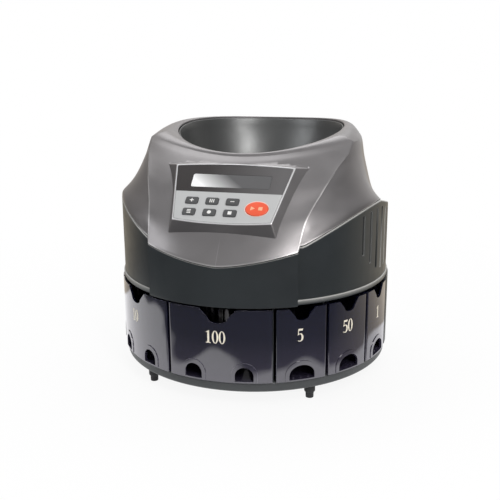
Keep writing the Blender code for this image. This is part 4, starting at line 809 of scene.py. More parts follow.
@dataclass(frozen=True)
class HousingForm:
    """The outer form of the housings: seam, rim, crease and sides, by angle and height over the deck."""

    skirt_r: float = 0.157
    front_r: float = 0.163
    corner_deg: float = 30.05
    side_start_deg: float = 33.0
    peak_deg: float = 77.0
    seam_heights: tuple[float, ...] = (0.0425, 0.0570, 0.0620, 0.0950, 0.0550)
    seam_power: float = 1.4
    height: float = 0.170
    top_h: float = 0.1561
    back_rise: float = 0.004
    wall: float = 0.0024
    flare: float = 0.024
    flare_drop: float = 0.0175
    back_bulge: float = 0.0065
    bulge_start_deg: float = 96.0
    proud: float = 0.007
    step_deg: float = 0.5
    brow_w: float = 0.007
    brow_drop: float = 0.0027
    crest: float = 0.138
    rim_rx: float = 0.100
    rim_ry: float = 0.095
    rim_cy: float = 0.02975
    rim_h: float = 0.1615
    rim_tilt_deg: float = 6.81
    rim_saddle: float = 0.00504
    blend: float = 0.1
    edge_round: float = 0.0006

    # Crease of the front cover: angle, radius share of the front, and share of the way down
    crease: Table = (
        (77.8, 0.750, 0.000), (69.6, 0.764, 0.112), (61.1, 0.775, 0.214), (55.6, 0.792, 0.289),
        (49.8, 0.816, 0.378), (43.65, 0.850, 0.499), (39.06, 0.884, 0.595), (35.3, 0.923, 0.694),
        (32.8, 0.958, 0.807), (31.3, 0.983, 0.923), (30.05, 1.000, 1.000),
    )
    # Plain side profile: height share of the housing and radius share of the skirt
    profile: Table = (
        (0.30, 0.975), (0.406, 0.949), (0.485, 0.917), (0.541, 0.895), (0.594, 0.871), (0.647, 0.854),
        (0.706, 0.838), (0.759, 0.824), (0.812, 0.812), (0.865, 0.804), (0.921, 0.792), (0.959, 0.764),
    )
    # How much the foot of the housing flares at each angle
    flares: Table = ((30.0, 0.55), (45.0, 0.75), (65.0, 1.0), (80.0, 0.6), (96.0, 0.0), (180.0, 0.0))

    def seam_height(self, deg: float) -> float:
        """Give the height of the seam between the housings."""
        front, corner, side, peak, back = self.seam_heights
        deg = abs(deg)
        if deg <= self.corner_deg + self.step_deg / 2:
            return front + (corner - front) * min(1.0, deg / self.corner_deg) ** self.seam_power
        if deg <= self.peak_deg:
            share = max(0.0, (deg - self.side_start_deg) / (self.peak_deg - self.side_start_deg))
            return side + (peak - side) * math.sin(math.pi / 2 * share)
        share = (deg - self.peak_deg) / (180.0 - self.peak_deg)
        return peak - (peak - back) * math.sin(math.pi / 2 * share)

    def rim_radius(self, deg: float, inset: float = 0.0) -> float:
        """Give the rim's distance from the axis: the rim is an ellipse set back from it."""
        a = math.radians(deg)
        rx, ry = self.rim_rx - inset, self.rim_ry - inset
        across, ahead, shift = math.sin(a) / rx, -math.cos(a) / ry, self.rim_cy / ry
        square = across ** 2 + ahead ** 2
        middle = -ahead * shift
        return (-middle + math.sqrt(middle ** 2 - square * (shift ** 2 - 1))) / square

    def rim_height(self, deg: float) -> float:
        """Give the rim's height: tilted forward and a little saddle shaped."""
        point = polar(self.rim_radius(deg), deg, 0.0)
        back = point.y - self.rim_cy
        theta = math.atan2(point.x / self.rim_rx, -back / self.rim_ry)
        tilted = self.rim_h + back * math.tan(math.radians(self.rim_tilt_deg))
        return tilted - self.rim_saddle * math.cos(2 * theta)

    def side_radius(self, deg: float, height: float) -> float:
        """Give the housing's radius beside the front cover."""
        share = height / self.height
        r = self.skirt_r * curve_through(self.profile, share)
        drop = math.exp((self.seam_height(deg) - height) / self.flare_drop)
        r += self.flare * curve_through(self.flares, deg) * drop
        back_share = max(0.0, (deg - self.bulge_start_deg) / (180.0 - self.bulge_start_deg))
        low_share = self.seam_height(deg) / self.height
        r += self.back_bulge * back_share * max(0.0, (share - low_share) / (1.0 - low_share))
        return (r ** -60 + self.skirt_r ** -60) ** (-1.0 / 60)

    def crease_rows(self, fineness: int = 4) -> list[tuple[float, float, float]]:
        """List the crease as a smooth curve: angle, radius share and share of the way down."""
        columns = [[(k, row[part]) for k, row in enumerate(self.crease)] for part in range(3)]
        count = (len(self.crease) - 1) * fineness
        return [tuple(curve_through(column, i / fineness) for column in columns) for i in range(count + 1)]

    def front_column(self, share: float) -> list[tuple[float, float, float]]:
        """List (angle, radius, height) down the front cover, at a share of the way to its crease."""
        top_deg, top_share, _ = self.crease[0]
        crease_r = self.front_r * top_share
        edge_r, edge_h = self.rim_radius(top_deg), self.rim_height(top_deg)
        lean = share ** 3
        r_top = self.rim_radius(top_deg * share) + self.brow_w + (crease_r - edge_r - self.brow_w) * lean
        h_top = self.rim_height(top_deg * share) - self.brow_drop
        h_top -= (edge_h - self.brow_drop - self.top_h) * lean
        h_low = self.seam_height(self.corner_deg * share)
        weight = share ** 5
        points = []
        for deg, r_share, drop in self.crease_rows():
            along = (self.front_r * r_share - crease_r) / (self.front_r - crease_r)
            out = (1 - weight) * max(0.0, drop) ** 0.77 + weight * along
            height = h_top + (h_low - h_top) * drop
            points.append((deg * share, r_top + (self.front_r - r_top) * out, height))
        return points

    def side_column(self, share: float) -> list[tuple[float, float, float]]:
        """List (angle, radius, height) down the side, at a share of the way from the crease to the back."""
        low_deg = self.crease[-1][0] + self.step_deg
        h_top = self.top_h + self.back_rise * share
        h_low = self.seam_height(low_deg + (180.0 - low_deg) * share)
        points = []
        for deg, r_share, drop in self.crease_rows():
            start = deg + self.step_deg
            height = h_top + (h_low - h_top) * drop
            first_h = self.top_h + (self.seam_height(low_deg) - self.top_h) * drop
            at_crease = self.front_r * r_share - self.proud * max(0.0, drop) ** 1.5
            lead = (at_crease - self.side_radius(start, first_h)) * math.exp(-share / self.blend)
            here = start + (180.0 - start) * share
            points.append((here, self.side_radius(here, height) + lead, height))
        return points

    def with_rim(self, column: list[tuple[float, float, float]],
                 rows: int = 10) -> list[tuple[float, float, float]]:
        """Add the rows over the shoulder, up to the rounded edge of the bowl's opening."""
        deg, r_top, h_top = column[0]
        start_r, start_h = self.rim_radius(deg), self.rim_height(deg)
        width = r_top - start_r
        lip = self.edge_round
        result = [(deg, start_r, start_h - lip), (deg, start_r + lip * 0.3, start_h - lip * 0.3)]
        first = lip / width
        for t in shares(rows)[:-1]:
            share = first + (1 - first) * t
            rise = self.crest * width * math.sin(math.pi * share)
            result.append((deg, start_r + width * share, start_h + rise + (h_top - start_h) * share ** 3))
        return result + column

    def half_columns(self, front: int, side: int) -> tuple[list[list[tuple[float, float, float]]], int]:
        """List columns from the front to the back.

        Args:
            front: how many columns go from the middle of the front to the crease.
            side: how many go from the crease to the back.

        Returns:
            The columns, and which of them is the crease.
        """
        front_shares = shares(front)[:-1] + [1 - 0.4 / front, 1.0]
        first = [self.with_rim(self.front_column(share)) for share in front_shares]
        first[-1] = [(deg, r - self.edge_round * 0.5, h) for deg, r, h in first[-1]]
        first[-1][:12] = self.with_rim(self.front_column(1.0))[:12]
        rest = [self.with_rim(self.side_column(share ** 1.15)) for share in shares(side)]
        return first + rest, len(first) - 1


FORM = HousingForm()


def both_sides(half: list) -> list:
    """Mirror columns from front to back into a whole round."""
    mirrored = [[(-deg, r, h) for deg, r, h in column] for column in half[1:-1]]
    return half + mirrored[::-1]


# Sub-assemblies


@dataclass
class Panel:
    """The control panel: its plane, film, display and keys."""

    top_y: float = 0.0848
    top_z: float = 0.2459
    low_y: float = 0.1406
    low_z: float = 0.1967
    top_w: float = 0.0666
    low_w: float = 0.0537
    top_bow: float = 0.0029
    low_bow: float = 0.0035
    face_t: float = 0.0034
    film_inset: float = 0.0018
    film_t: float = 0.0008
    film_corner: float = 0.0016
    film_drop: float = 0.00001
    film_ease: float = 0.00012
    glass_drop: float = 0.0001
    glass_ease: float = 0.00015
    window_v: float = 0.0212
    window_w: float = 0.087
    window_h: float = 0.0175
    window_slack: float = 0.0004
    window_lip: float = 0.0044
    key_w: float = 0.0140
    key_h: float = 0.0090
    key_corner: float = 0.0018
    key_proud: float = 0.0009
    key_flange: float = 0.0010
    key_stem: float = 0.0030
    flange_t: float = 0.0010
    stem_inset: float = 0.0010
    # The key's crown: how far in and how far down each step lies
    key_crown: Table = ((0.0, 0.0005), (0.00012, 0.0002), (0.0004, 0.00006), (0.0012, 0.0))
    columns: tuple[float, ...] = (-0.0374, -0.0151, 0.0072)
    rows: tuple[float, ...] = (0.0487, 0.0635)
    start_at: tuple[float, float] = (0.0348, 0.0563)
    start_w: float = 0.0243
    start_h: float = 0.0179
    legend_t: float = 0.00012
    legend_sink: float = 0.0001
    legend_ease: float = 0.00005
    ring_out: float = 0.0024
    ring_in: float = 0.0007
    ring_ease: float = 0.00004
    names: tuple[tuple[str, ...], ...] = (
        ("key_plus", "key_batch", "key_minus"),
        ("key_report", "key_set", "key_clear"),
    )

    def matrix(self) -> Matrix:
        """Give the frame of the panel's face: x across, y up the slope, z out of the face."""
        top = Vector((0.0, -self.top_y, self.top_z))
        low = Vector((0.0, -self.low_y, self.low_z))
        up = (top - low).normalized()
        out = Vector((1.0, 0.0, 0.0)).cross(up)
        turned_frame = Matrix(((1.0, up.x, out.x), (0.0, up.y, out.y), (0.0, up.z, out.z))).to_4x4()
        return Matrix.Translation(top) @ turned_frame

    def length(self) -> float:
        """Give the face's length down its slope."""
        return math.hypot(self.low_y - self.top_y, self.top_z - self.low_z)

    def outline(self, inset: float, corner: float, steps: int = 20) -> Outline:
        """List the face's outline with its bowed top and bottom.

        Args:
            inset: how far the outline is moved in.
            corner: how far its four corners are rounded.
            steps: how many stretches the top and the bottom have.

        Returns:
            The outline in the panel's own plane.
        """
        slant = (self.top_w - self.low_w) / self.length()
        side_inset = inset * math.hypot(1.0, slant)
        points = []
        edges = ((inset, self.top_bow, 1), (self.length() - inset, -self.low_bow, -1))
        for v, bow, way in edges:
            width = self.top_w - slant * v - side_inset
            for t in shares(steps):
                share = way * (1.0 - 2.0 * t)
                points.append(Vector((width * share, -v + bow * (1 - share ** 2))))
        return eased(points, corner, 3, self.corner_indexes(steps))

    @staticmethod
    def corner_indexes(steps: int) -> list[int]:
        """List which points of an outline are its four corners."""
        return [0, steps, steps + 1, 2 * steps + 1]

    def keys(self) -> list[tuple[str, Outline, Vector]]:
        """List each key's name, outline and place on the face."""
        places = []
        for names, v in zip(self.names, self.rows):
            for name, u in zip(names, self.columns):
                outline = rounded_box(self.key_w, self.key_h, self.key_corner)
                places.append((name, outline, Vector((u, -v))))
        u, v = self.start_at
        places.append(("key_start_stop", oval(self.start_w, self.start_h), Vector((u, -v))))
        return places

    def holes(self, low: float, high: float, grow: float, window: float) -> list[bpy.types.Object]:
        """Make the cutters of the key holes and of the window.

        Args:
            low: where the cutters start, behind the face.
            high: where they end.
            grow: how much wider than a key each hole is.
            window: how much narrower than the window its hole is.

        Returns:
            The cutters.
        """
        tools = []
        for _, outline, at in self.keys():
            tools.append(prism("hole", moved(grown(outline, grow), *at), low, high, self.matrix()))
        frame_hole = rounded_box(self.window_w - window, self.window_h - window, self.key_corner)
        tools.append(prism("hole", moved(frame_hole, 0.0, -self.window_v), low, high, self.matrix()))
        return tools

    def symbol(self, name: str) -> list[Outline]:
        """List the outlines of a key's plain symbol, about the key's middle.

        Args:
            name: the key's name.

        Returns:
            One outline for each mark.
        """
        w, t = 0.0044, 0.0010
        level = rounded_box(w, t, t / 3, 3)
        upright = rounded_box(t, w, t / 3, 3)
        if name == "key_plus":
            arm, half = w / 2, t / 2
            quarter = [(arm, -half), (arm, half), (half, half)]
            cross = [Matrix.Rotation(math.pi / 2 * k, 2) @ Vector(p) for k in range(4) for p in quarter]
            return [cross]
        if name == "key_minus":
            return [level]
        if name == "key_batch":
            return [moved(upright, x, 0.0) for x in (-w * 0.45, 0.0, w * 0.45)]
        if name == "key_report":
            return [moved(level, 0.0, y) for y in (-w * 0.42, 0.0, w * 0.42)]
        if name == "key_set":
            return [oval(w, w, 24)]
        if name == "key_clear":
            return [rounded_box(w * 0.95, w * 0.95, t / 3, 3)]
        triangle = [Vector(p) for p in ((-0.0065, 0.0026), (-0.0065, -0.0026), (-0.0018, 0.0))]
        square = moved(rounded_box(0.0044, 0.0044, 0.0004, 3), 0.0040, 0.0)
        return [eased(triangle, 0.0004), square]

    def build(self, dresser: Dresser) -> None:
        """Make the film, the display's cover and the keys."""
        outline = self.outline(self.film_inset, self.film_corner)
        film = prism("overlay_film", outline, -self.film_t, -self.film_drop, self.matrix())
        cut(film, *self.holes(-self.film_t - OVERRUN, OVERRUN, GAP, -self.window_slack))
        round_edges(film, self.film_ease, 2)
        smooth(film, True)
        dresser.dress(film, "root", Slot.OVERLAY, FILM, "control_overlay")
        outline = moved(rounded_box(self.window_w, self.window_h, self.key_corner), 0.0, -self.window_v)
        glass = prism("display_cover", outline, -self.film_t, -self.glass_drop, self.matrix())
        round_edges(glass, self.glass_ease, 2)
        smooth(glass, True)
        dresser.dress(glass, "root", Slot.WINDOW, GLASS, "lcd_window")
        for name, outline, at in self.keys():
            self.build_key(dresser, name, outline, at)
        self.build_ring(dresser)

    def build_key(self, dresser: Dresser, name: str, outline: Outline, at: Vector) -> None:
        """Make one key with its flange, its crowned cap and its symbol."""
        flange = -self.face_t - GAP
        seat = flange - self.flange_t
        rise = self.key_proud
        steps = [(-self.stem_inset, seat - self.key_stem), (-self.stem_inset, seat), (self.key_flange, seat),
                 (self.key_flange, flange), (0.0, flange)]
        steps += [(-inset, rise - drop) for inset, drop in self.key_crown]
        sections = [[self.matrix() @ Vector((p.x, p.y, z)) for p in moved(grown(outline, grow), *at)]
                    for grow, z in steps]
        red = name == "key_start_stop"
        key = skin("cap_" + name, sections, False, True)
        smooth(key)
        slot, finish = (Slot.START, KEY_RED) if red else (Slot.KEY, KEY_GREY)
        dresser.dress(key, name + "_body", slot, finish, name)
        marks = []
        for mark in self.symbol(name):
            placed = moved(mark, *at)
            marks.append(prism("mark", placed, rise - self.legend_sink, rise + self.legend_t, self.matrix()))
        legend = gathered(marks)
        legend.name = "legend_" + name
        round_edges(legend, self.legend_ease, 1)
        smooth(legend)
        dresser.dress(legend, name + "_body", Slot.OVERLAY, WARM_LEGEND if red else LEGEND)

    def build_ring(self, dresser: Dresser) -> None:
        """Make the pale printed ring round the start key."""
        at = Vector((self.start_at[0], -self.start_at[1]))
        outer = moved(oval(self.start_w + self.ring_out, self.start_h + self.ring_out), *at)
        inner = moved(oval(self.start_w + self.ring_in, self.start_h + self.ring_in), *at)
        ring = prism("start_key_ring", outer, -self.legend_sink, self.legend_t, self.matrix())
        cut(ring, prism("hole", inner, -OVERRUN, OVERRUN, self.matrix()))
        round_edges(ring, self.ring_ease, 1)
        smooth(ring)
        dresser.dress(ring, "root", Slot.OVERLAY, replace(LEGEND, name="ring_ink", colour=(0.80, 0.60, 0.52)))


def grown(outline: Outline, amount: float) -> Outline:
    """Grow a closed outline that goes round its own middle counterclockwise.

    Args:
        outline: the outline.
        amount: how far it grows, or shrinks where negative.

    Returns:
        The grown outline.
    """
    result = []
    for i, point in enumerate(outline):
        along = (outline[(i + 1) % len(outline)] - outline[i - 1]).normalized()
        result.append(point + Vector((along.y, -along.x)) * amount)
    return result


@dataclass
class UpperHousing:
    """The metallic upper housing, with the panel's hollow pedestal on its front cover."""

    form: HousingForm = FORM
    panel: Panel = field(default_factory=Panel)
    seam_gap: float = 0.0007
    root_top: tuple[float, ...] = (0.0763, 0.0717, 0.2445)
    root_low: tuple[float, ...] = (0.0598, 0.1440, 0.1811)
    root_top_mid: tuple[float, ...] = (0.0720, 0.2495)
    root_low_mid: tuple[float, ...] = (0.1389, 0.1844)
    root_sink: float = 0.0004
    root_tuck: float = 0.94
    cavity_edge: float = 0.0035
    cavity_d: float = 0.034
    corner: float = 0.0015
    crown_inset: float = 0.0007
    crown_drop: float = 0.0009
    hollow_rise: float = 0.01
    fade_row: int = 16
    fade_rows: int = 12
    front_columns: int = 40
    side_columns: int = 80

    def columns(self) -> tuple[list, int]:
        """List the housing's fine columns and which of them is the crease."""
        return self.form.half_columns(self.front_columns, self.side_columns)

    def outer(self) -> bpy.types.Object:
        """Make the solid outer form, with its lower edge rounded."""
        half, crease = self.columns()
        base = DECK_Z + self.seam_gap
        ease = self.form.edge_round
        sections = []
        for column in both_sides(half):
            deg, r, h = column[-1]
            tail = [(deg, r, h + ease), (deg, r - ease * 0.3, h + ease * 0.3), (deg, r - ease, h)]
            sections.append([polar(r, deg, base + h) for deg, r, h in column[:-1] + tail])
        total, rows = len(sections), len(sections[0])

        def painted_highlight(column: int, row: int) -> float:
            """Tell how strong the painted highlight is on the front cover's edge and on the lower edge."""
            place = min(column, total - column)
            strength = {crease - 1: 0.5, crease: 0.8}.get(place, 0.0)
            fade = min(1.0, max(0.0, row - self.fade_row) / self.fade_rows)
            return max(strength * fade, 0.6 if rows - 3 <= row < rows - 1 else 0.0)

        return skin("housing_shell", sections, True, False, painted_highlight)

    def hollow(self) -> bpy.types.Object:
        """Make the solid that hollows the housing out to an even wall."""
        half, crease = self.columns()
        wall = self.form.wall
        base = DECK_Z + self.seam_gap
        picked = half[:crease - 1:2] + [half[crease]] + half[crease + 1::3]
        if picked[-1] is not half[-1]:
            picked.append(half[-1])
        inner = []
        for column in picked:
            line = []
            shift = 1.0 if column is half[crease] else 0.0
            for i, (deg, r, h) in enumerate(column):
                before, after = column[max(0, i - 1)], column[min(len(column) - 1, i + 1)]
                along = Vector((after[1] - before[1], after[2] - before[2])).normalized()
                line.append((deg - shift, r + along.y * wall, h - along.x * wall))
            rim = (column[0][0], self.form.rim_radius(column[0][0]), self.form.rim_height(column[0][0]))
            line[0] = (rim[0] - shift, rim[1], rim[2] - wall)
            kept = [line[0]] + line[4:-1:4]
            end = (line[-1][0], column[-1][1] - wall, column[-1][2] - OVERRUN)
            inner.append([(rim[0] - shift, rim[1], rim[2] + self.hollow_rise)] + kept + [end])
        sections = [[polar(r, deg, base + h) for deg, r, h in column] for column in both_sides(inner)]
        return skin("hollow", sections, True, False)

    def root_outline(self, steps: int = 20) -> Outline:
        """List where the pedestal meets the housing, in the order of the face's outline."""
        points = []
        ends = ((self.root_top, self.root_top_mid, 1), (self.root_low, self.root_low_mid, -1))
        for corner, middle, way in ends:
            for t in shares(steps):
                share = way * (1.0 - 2.0 * t)
                ease = 1 - share ** 2
                y = corner[1] + (middle[0] - corner[1]) * ease
                z = corner[2] + (middle[1] - corner[2]) * ease
                points.append(Vector((corner[0] * share, -y, z)))
        return eased(points, self.corner, 3, self.panel.corner_indexes(steps))

    def pedestal(self, shell: bpy.types.Object) -> bpy.types.Object:
        """Make the pedestal's block, seated on the shell's surface."""
        corners = [v.co for v in shell.data.vertices]
        tree = BVHTree.FromPolygons(corners, [p.vertices for p in shell.data.polygons])
        place = self.panel.matrix()
        root = []
        for point in self.root_outline():
            inward = Vector((-point.x, -point.y, 0.0)).normalized()
            hit = tree.ray_cast(point - inward * self.form.skirt_r, inward)[0]
            root.append(hit + inward * self.root_sink)
        face = [place @ p.to_3d() for p in self.panel.outline(0.0, self.corner)]
        crown = [place @ p.to_3d() for p in self.panel.outline(self.crown_inset, self.corner)]
        below = [p.lerp(q, self.crown_drop / (q - p).length) for p, q in zip(face, root)]
        shoulder = [p.lerp((a + b) / 2, 0.5) for p, a, b in zip(face, crown, below)]
        centre = place @ Vector((0.0, -self.panel.length() / 2, -self.cavity_d / 2))
        deep = [Vector((p.x * self.root_tuck, p.y * self.root_tuck, p.z)) for p in root]
        core = [p.lerp(centre, 1 - self.root_tuck) for p in deep]
        return skin("pedestal", [crown, shoulder, below, root, deep, core], False, True)

    def build(self, dresser: Dresser) -> None:
        """Make the housing and its openings."""
        shell = self.outer()
        fuse(shell, self.pedestal(shell))
        cut(shell, self.hollow())
        place, face_t = self.panel.matrix(), self.panel.face_t
        cut(shell, prism("cavity", self.panel.outline(self.cavity_edge, 0.0), -self.cavity_d, -face_t, place))
        recess = self.panel.outline(self.panel.film_inset - GAP, self.panel.film_corner)
        cut(shell, prism("recess", recess, -self.panel.film_t - GAP, OVERRUN, place))
        cut(shell, *self.panel.holes(-face_t - OVERRUN, OVERRUN, GAP, self.panel.window_lip))
        shell.name = "upper_shell"
        smooth(shell, True)
        dresser.dress(shell, "root", Slot.HOUSING, HOUSING_PAINT, "upper_housing")


@dataclass
class Skirt:
    """The dark lower housing with its rows of upright vents."""

    form: HousingForm = FORM
    wall: float = 0.0028
    lip: float = 0.0015
    lip_h: float = 0.004
    rounding: float = 0.002
    rim_shares: Table = ((0.0, 1.0), (0.1, 0.6), (0.3, 0.3), (0.6, 0.1), (1.0, 0.0))
    flange_t: float = 0.0028
    tuck: float = 0.003
    shelf: float = 0.004
    shelf_r: float = 0.1507
    seat: float = 0.0033
    vent_w: float = 0.0036
    vent_ease: float = 0.0005
    vent_pitch: float = 5.4
    vent_first: float = 62.5
    vent_count: int = 9
    vent_top_drop: float = 0.007
    vent_low: float = 0.017
    vent_first_low: float = 0.040

    def section(self, deg: float, housing_r: float, front: bool) -> list[tuple[float, float]]:
        """List the skirt's closed section at an angle, as radius and height."""
        top = self.form.seam_height(deg)
        outer = self.form.front_r if front else self.form.skirt_r
        lip = 0.0 if front else self.lip
        inner = outer - self.wall
        tuck_r = housing_r - self.form.wall - self.tuck
        rounding = self.rounding / 2 if front else self.rounding
        ease = self.form.edge_round
        return [
            (outer + lip - ease, 0.0), (outer + lip - ease / 3, ease / 3), (outer + lip, ease),
            (outer + lip, self.lip_h), (outer + lip * 0.5, self.lip_h + self.lip * 0.75),
            (outer, self.lip_h + self.lip),
            *[(outer - rounding * inset, top - rounding * drop) for inset, drop in self.rim_shares],
            (tuck_r, top), (tuck_r, top - self.flange_t),
            (min(inner, tuck_r + self.tuck), top - self.flange_t - GAP),
            (inner, top - self.flange_t * 2),
            (inner, self.seat + self.shelf * 2), (self.shelf_r, self.seat + self.shelf),
            (self.shelf_r, self.seat), (inner, self.seat), (inner, 0.0),
        ]

    def build(self, dresser: Dresser) -> None:
        """Make the skirt and cut its vents."""
        half, crease = self.form.half_columns(40, 80)
        columns = both_sides(half)
        sections = []
        for i, column in enumerate(columns):
            deg, housing_r, _ = column[-1]
            place = min(i, len(columns) - i)
            section = self.section(deg, housing_r, place <= crease)
            inner_deg = deg - math.copysign(1.0, deg) if place == crease else deg
            outer_count = 12
            sections.append([polar(r, deg if k < outer_count else inner_deg, DECK_Z + h)
                             for k, (r, h) in enumerate(section)])
        def painted_highlight(column: int, row: int) -> float:
            """Tell how strong the painted highlight is on the rim and on the bead."""
            if min(column, len(columns) - column) <= crease:
                return 0.5 if row in (8, 9) else 0.0
            return {3: 0.35, 4: 1.0, 7: 0.4, 8: 1.0, 9: 0.8}.get(row, 0.0)

        skirt = skin("lower_shell", sections, painted_highlight=painted_highlight)
        vents = []
        for side in (-1, 1):
            for i in range(self.vent_count):
                deg = self.vent_first + self.vent_pitch * i
                share = min(1.0, i / 3.0)
                deeper = math.sin(math.pi / 2 * share)
                low = self.vent_first_low + (self.vent_low - self.vent_first_low) * deeper
                high = self.form.seam_height(deg) - self.vent_top_drop
                slot = moved(rounded_box(self.vent_w, high - low, 0.0014), 0.0, DECK_Z + (low + high) / 2)
                r, ease = self.form.skirt_r, self.vent_ease
                depths = ((r - self.wall - OVERRUN, 0.0), (r - ease, 0.0), (r + OVERRUN, ease + OVERRUN))
                flared = [[facing(side * deg) @ Vector((p.x, p.y, depth)) for p in grown(slot, grow)]
                          for depth, grow in depths]
                vents.append(skin("vent", flared, False))
        cut(skirt, *vents)
        smooth(skirt, True)
        dresser.dress(skirt, "root", Slot.SKIRT, SKIRT_PLASTIC, "lower_housing")


@dataclass
class Bowl:
    """The hopper bowl, with a rounded lip, a throat and the cover over the disc."""

    form: HousingForm = FORM
    wall: float = 0.0018
    drop: float = 0.0015
    throat_r: float = 0.056
    throat_h: float = 0.010
    throat_rise: float = 0.001
    throat_round: float = 0.0008
    cover_r: float = 0.118
    cover_t: float = 0.0026
    rows: int = 26
    columns: int = 192

    def section(self, deg: float) -> list[tuple[float, float]]:
        """List the bowl's closed section at an angle, from inside the lip down and back up outside."""
        lip_r = self.form.rim_radius(deg, 2 * GAP)
        lip_z = DECK_Z + self.form.rim_height(deg) - self.drop
        neck_z = COVER_Z + self.cover_t + self.throat_h
        fall, width = lip_z - neck_z, lip_r - self.throat_r
        inner, outer = [], []
        for share in shares(self.rows):
            r = self.throat_r + width * (1 - share ** 1.25)
            z = lip_z - fall * share ** 0.85
            inner.append((r - self.wall, z - (self.wall * 0.5 if share == 0 else 0.0)))
            outer.append((r, z - (self.wall if share > 0 else self.wall * 0.5)))
        ease = self.form.edge_round
        inner.append((self.throat_r - self.wall, COVER_Z + self.throat_rise))
        inner.append((self.throat_r - self.wall + self.throat_round, COVER_Z))
        tail = [(self.cover_r - ease, COVER_Z), (self.cover_r, COVER_Z + ease),
                (self.cover_r, COVER_Z + self.cover_t - ease), (self.cover_r - ease, COVER_Z + self.cover_t),
                (self.throat_r, COVER_Z + self.cover_t)]
        lip = []
        for t in (0.25, 0.5, 0.75):
            a = math.pi * t
            lip.append((lip_r - self.wall / 2 + self.wall / 2 * math.cos(a),
                        lip_z - self.wall / 2 + self.wall / 2 * math.sin(a)))
        return inner + tail + outer[::-1] + lip

    def build(self, dresser: Dresser) -> None:
        """Make the bowl."""
        sections = []
        for i in range(self.columns):
            deg = -180.0 + 360.0 * i / self.columns
            sections.append([polar(r, deg, z) for r, z in self.section(deg)])
        bowl = skin("coin_bowl", sections)
        smooth(bowl)
        dresser.dress(bowl, "root", Slot.BOWL, BOWL_PAINT, "hopper_bowl")


@dataclass
class Digits:
    """Plain serif figures, drawn in shares of their height from the baseline."""

    height: float = 0.0140
    depth: float = 0.00012
    advance: float = 0.54

    def one(self) -> list[Outline]:
        """List the outline of a 1."""
        points = ((-0.19, 0.0), (0.19, 0.0), (0.19, 0.04), (0.075, 0.075), (0.075, 1.0), (0.03, 1.0),
                  (-0.19, 0.87), (-0.19, 0.83), (-0.075, 0.86), (-0.075, 0.075), (-0.19, 0.04))
        return [[Vector(p) for p in points]]

    def zero(self) -> list[Outline]:
        """List the two halves of a 0, with thick sides and thin ends."""
        halves = []
        for side in (1, -1):
            outer, inner = [], []
            for t in shares(14):
                a = math.pi * (t - 0.5)
                outer.append(Vector((side * 0.255 * math.cos(a), 0.5 + 0.51 * math.sin(a))))
                inner.append(Vector((side * 0.120 * math.cos(a), 0.5 + 0.46 * math.sin(a))))
            halves.append((outer + inner[::-1])[::side])
        return halves

    def five(self) -> list[Outline]:
        """List the outline of a 5: a flag, a thin stem and a heavy bowl that ends in a ball."""
        outer, inner = [], []
        for t in shares(16):
            a = math.radians(118.0 - 258.0 * t)
            outer.append(Vector((0.01 + 0.25 * math.cos(a), 0.31 + 0.325 * math.sin(a))))
        for t in shares(14):
            a = math.radians(-128.0 + 240.0 * t)
            inner.append(Vector((-0.025 + 0.135 * math.cos(a), 0.31 + 0.265 * math.sin(a))))
        head = [(-0.19, 0.50), (-0.145, 1.0), (0.225, 1.0), (0.195, 0.855), (-0.105, 0.855)]
        ball = [(-0.245, 0.10), (-0.262, 0.055), (-0.235, 0.012), (-0.185, 0.01)]
        points = [Vector(p) for p in head] + outer + [Vector(p) for p in ball] + inner
        return [points[::-1]]

    def build(self, text: str, deg: float, z: float) -> bpy.types.Object:
        """Lay a number on the drawers' curved front.

        Args:
            text: the number, of the figures 0, 1 and 5.
            deg: the angle of the number's middle.
            z: the height of its baseline.

        Returns:
            The number as one piece.
        """
        shapes = {"0": self.zero, "1": self.one, "5": self.five}
        pieces = []
        for i, figure in enumerate(text):
            middle = (i - (len(text) - 1) / 2) * self.advance
            for outline in shapes[figure]():
                drawn = [Vector(((p.x + middle) * self.height, z + p.y * self.height)) for p in outline]
                pieces.append(prism("figure", drawn, RING_R - 0.0001, RING_R + self.depth))
        number = gathered(pieces)
        for vertex in number.data.vertices:
            across, up, r = vertex.co
            vertex.co = polar(r, deg + math.degrees(across / RING_R), up)
        tidy_mesh(number)
        return number


